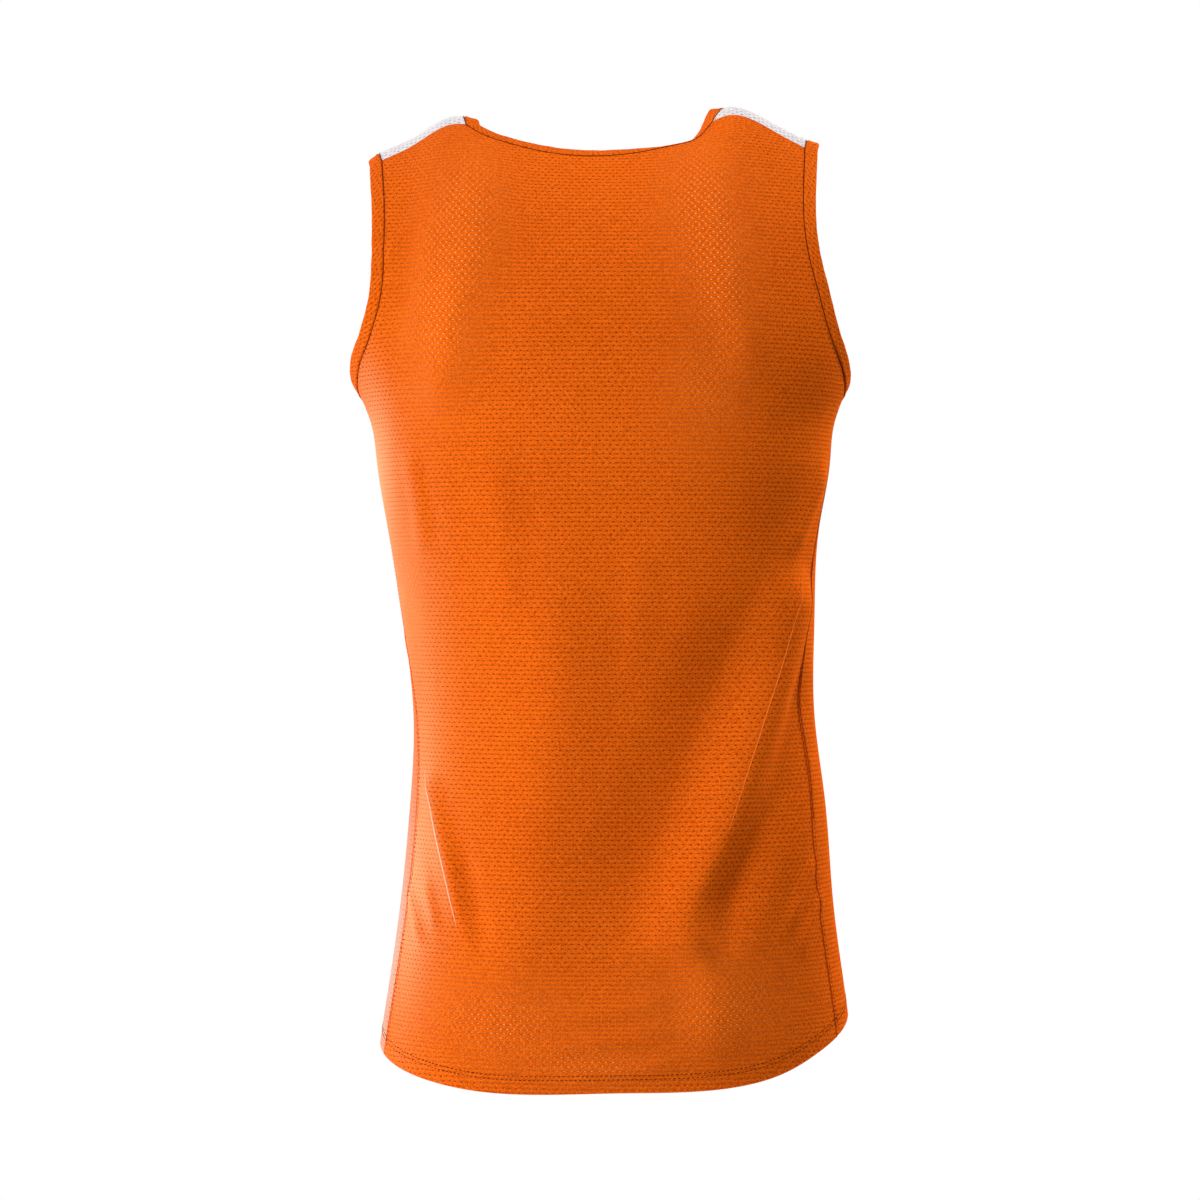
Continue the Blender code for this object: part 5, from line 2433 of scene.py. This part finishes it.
class Jersey:
    """The whole garment, built piece by piece."""

    def __init__(self) -> None:
        """Lay out the skin, the panels and the yokes."""
        self.skin = Skin(FOLDS)
        self.panels = {face: Panel(self.skin, face) for face in Face}
        self.yokes = {side: YokePiece(self.skin, side) for side in Side}
        cuts = {face: panel.cut for face, panel in self.panels.items()}
        self.edges = Edges(self.skin, cuts)
        self.finishes = Finishes()
        self.pieces: dict[str, Thing] = {}

    def keep(self, thing: Thing, slot: str, *nodes: str) -> None:
        """Take a finished piece into the garment.

        Args:
            thing: The piece.
            slot: A record's slot; not used.
            nodes: The CAD nodes that it stands for.
        """
        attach(thing, BODY)
        if nodes:
            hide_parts(*nodes)
        self.pieces[thing.name] = thing
        log.info("%s: %d faces", thing.name, len(thing.data.polygons))

    def cloth(self) -> None:
        """The two panels and the two yokes."""
        punch = punch_tree()
        for face, panel in self.panels.items():
            self.keep(panel.build(punch, self.finishes), "orange_mesh",
                      face.value + "_panel")
        for side, yoke in self.yokes.items():
            self.keep(yoke.build(punch, self.finishes), "white_mesh", side.value + "_yoke")

    def bindings(self) -> None:
        """The bindings round the neck and the armholes, with their seams."""
        loops = [self.edges.neck(self.yokes),
                 *[self.edges.armhole(side, self.yokes) for side in Side]]
        for (node, binding), loop in zip(BINDINGS.items(), loops):
            self.keep(binding.build(loop, self.finishes.binding), "orange_binding", node)
        lines = [loop.lifted(BINDING_SEAM_LIFT) for loop in loops]
        self.keep(Seam("binding_seams", 0.00030, looped=True)
                  .build(lines, self.finishes.seam), "orange_binding")

    def seams(self) -> None:
        """The side seams and the yokes' seams."""
        edges, finishes = self.edges, self.finishes
        lines = [edges.side_seam(row) for row in SIDE_SEAM_LINES]
        ridges = [edges.side_seam(row) for row in SIDE_SEAM_RIDGES]
        yokes = [edges.yoke_seam(yoke, behind)
                 for yoke in self.yokes.values() for behind in (True, False)]
        for seam, paths, finish in (
                (Seam("side_seam_lines", 0.00022), lines, finishes.side_seam),
                (Seam("side_seam_rows", 0.00042), ridges, finishes.ridge),
                (Seam("yoke_seam_lines", 0.00036), yokes, finishes.thread)):
            self.keep(seam.build(paths, finish), "orange_mesh")

    def stitches(self) -> None:
        """The hem's two rows and the rows beside the side seams."""
        tree = stitch_tree()
        hem = [self.edges.hem_line(face, up) for face in Face for up in HEM_STITCH_HEIGHTS]
        sides = [self.edges.side_seam(row) for row in SIDE_STITCH_ROWS]
        for stitching, rows, finish in (
                (Stitching("hem_stitches", spacing=0.0034, length=0.0021,
                           thickness=0.00055), hem, self.finishes.seam),
                (Stitching("side_stitches", spacing=0.0030, length=0.0022,
                           thickness=0.0006), sides, self.finishes.thread)):
            self.keep(stitching.build(rows, tree, finish), "orange_mesh")

    def creases(self) -> None:
        """The sharp pressed creases over the back, with painted highlights on their crests.
        """
        finishes = (self.finishes.pale_crease, self.finishes.bright_crease)
        for crease, finish in zip(CREASES, finishes):
            self.keep(crease.build(self.edges, finish), "orange_mesh")

    def declare(self) -> None:
        """Log each sheet's flat size and area."""
        for face, panel in self.panels.items():
            flat, area = panel.size()
            log.info("%s panel cut: %.3f by %.3f m, %.4f m2", face.value, *flat, area)
        for side, yoke in self.yokes.items():
            flat, area = yoke.size()
            log.info("%s yoke cut: %.3f by %.3f m, %.4f m2", side.value, *flat, area)


def main() -> None:
    """Build the garment and the studio round it."""
    logging.basicConfig(level=logging.INFO, format="%(name)s: %(message)s")
    jersey = Jersey()
    jersey.cloth()
    jersey.bindings()
    jersey.seams()
    jersey.stitches()
    jersey.creases()
    jersey.declare()
    Studio().build()


if __name__ == "__main__":
    main()
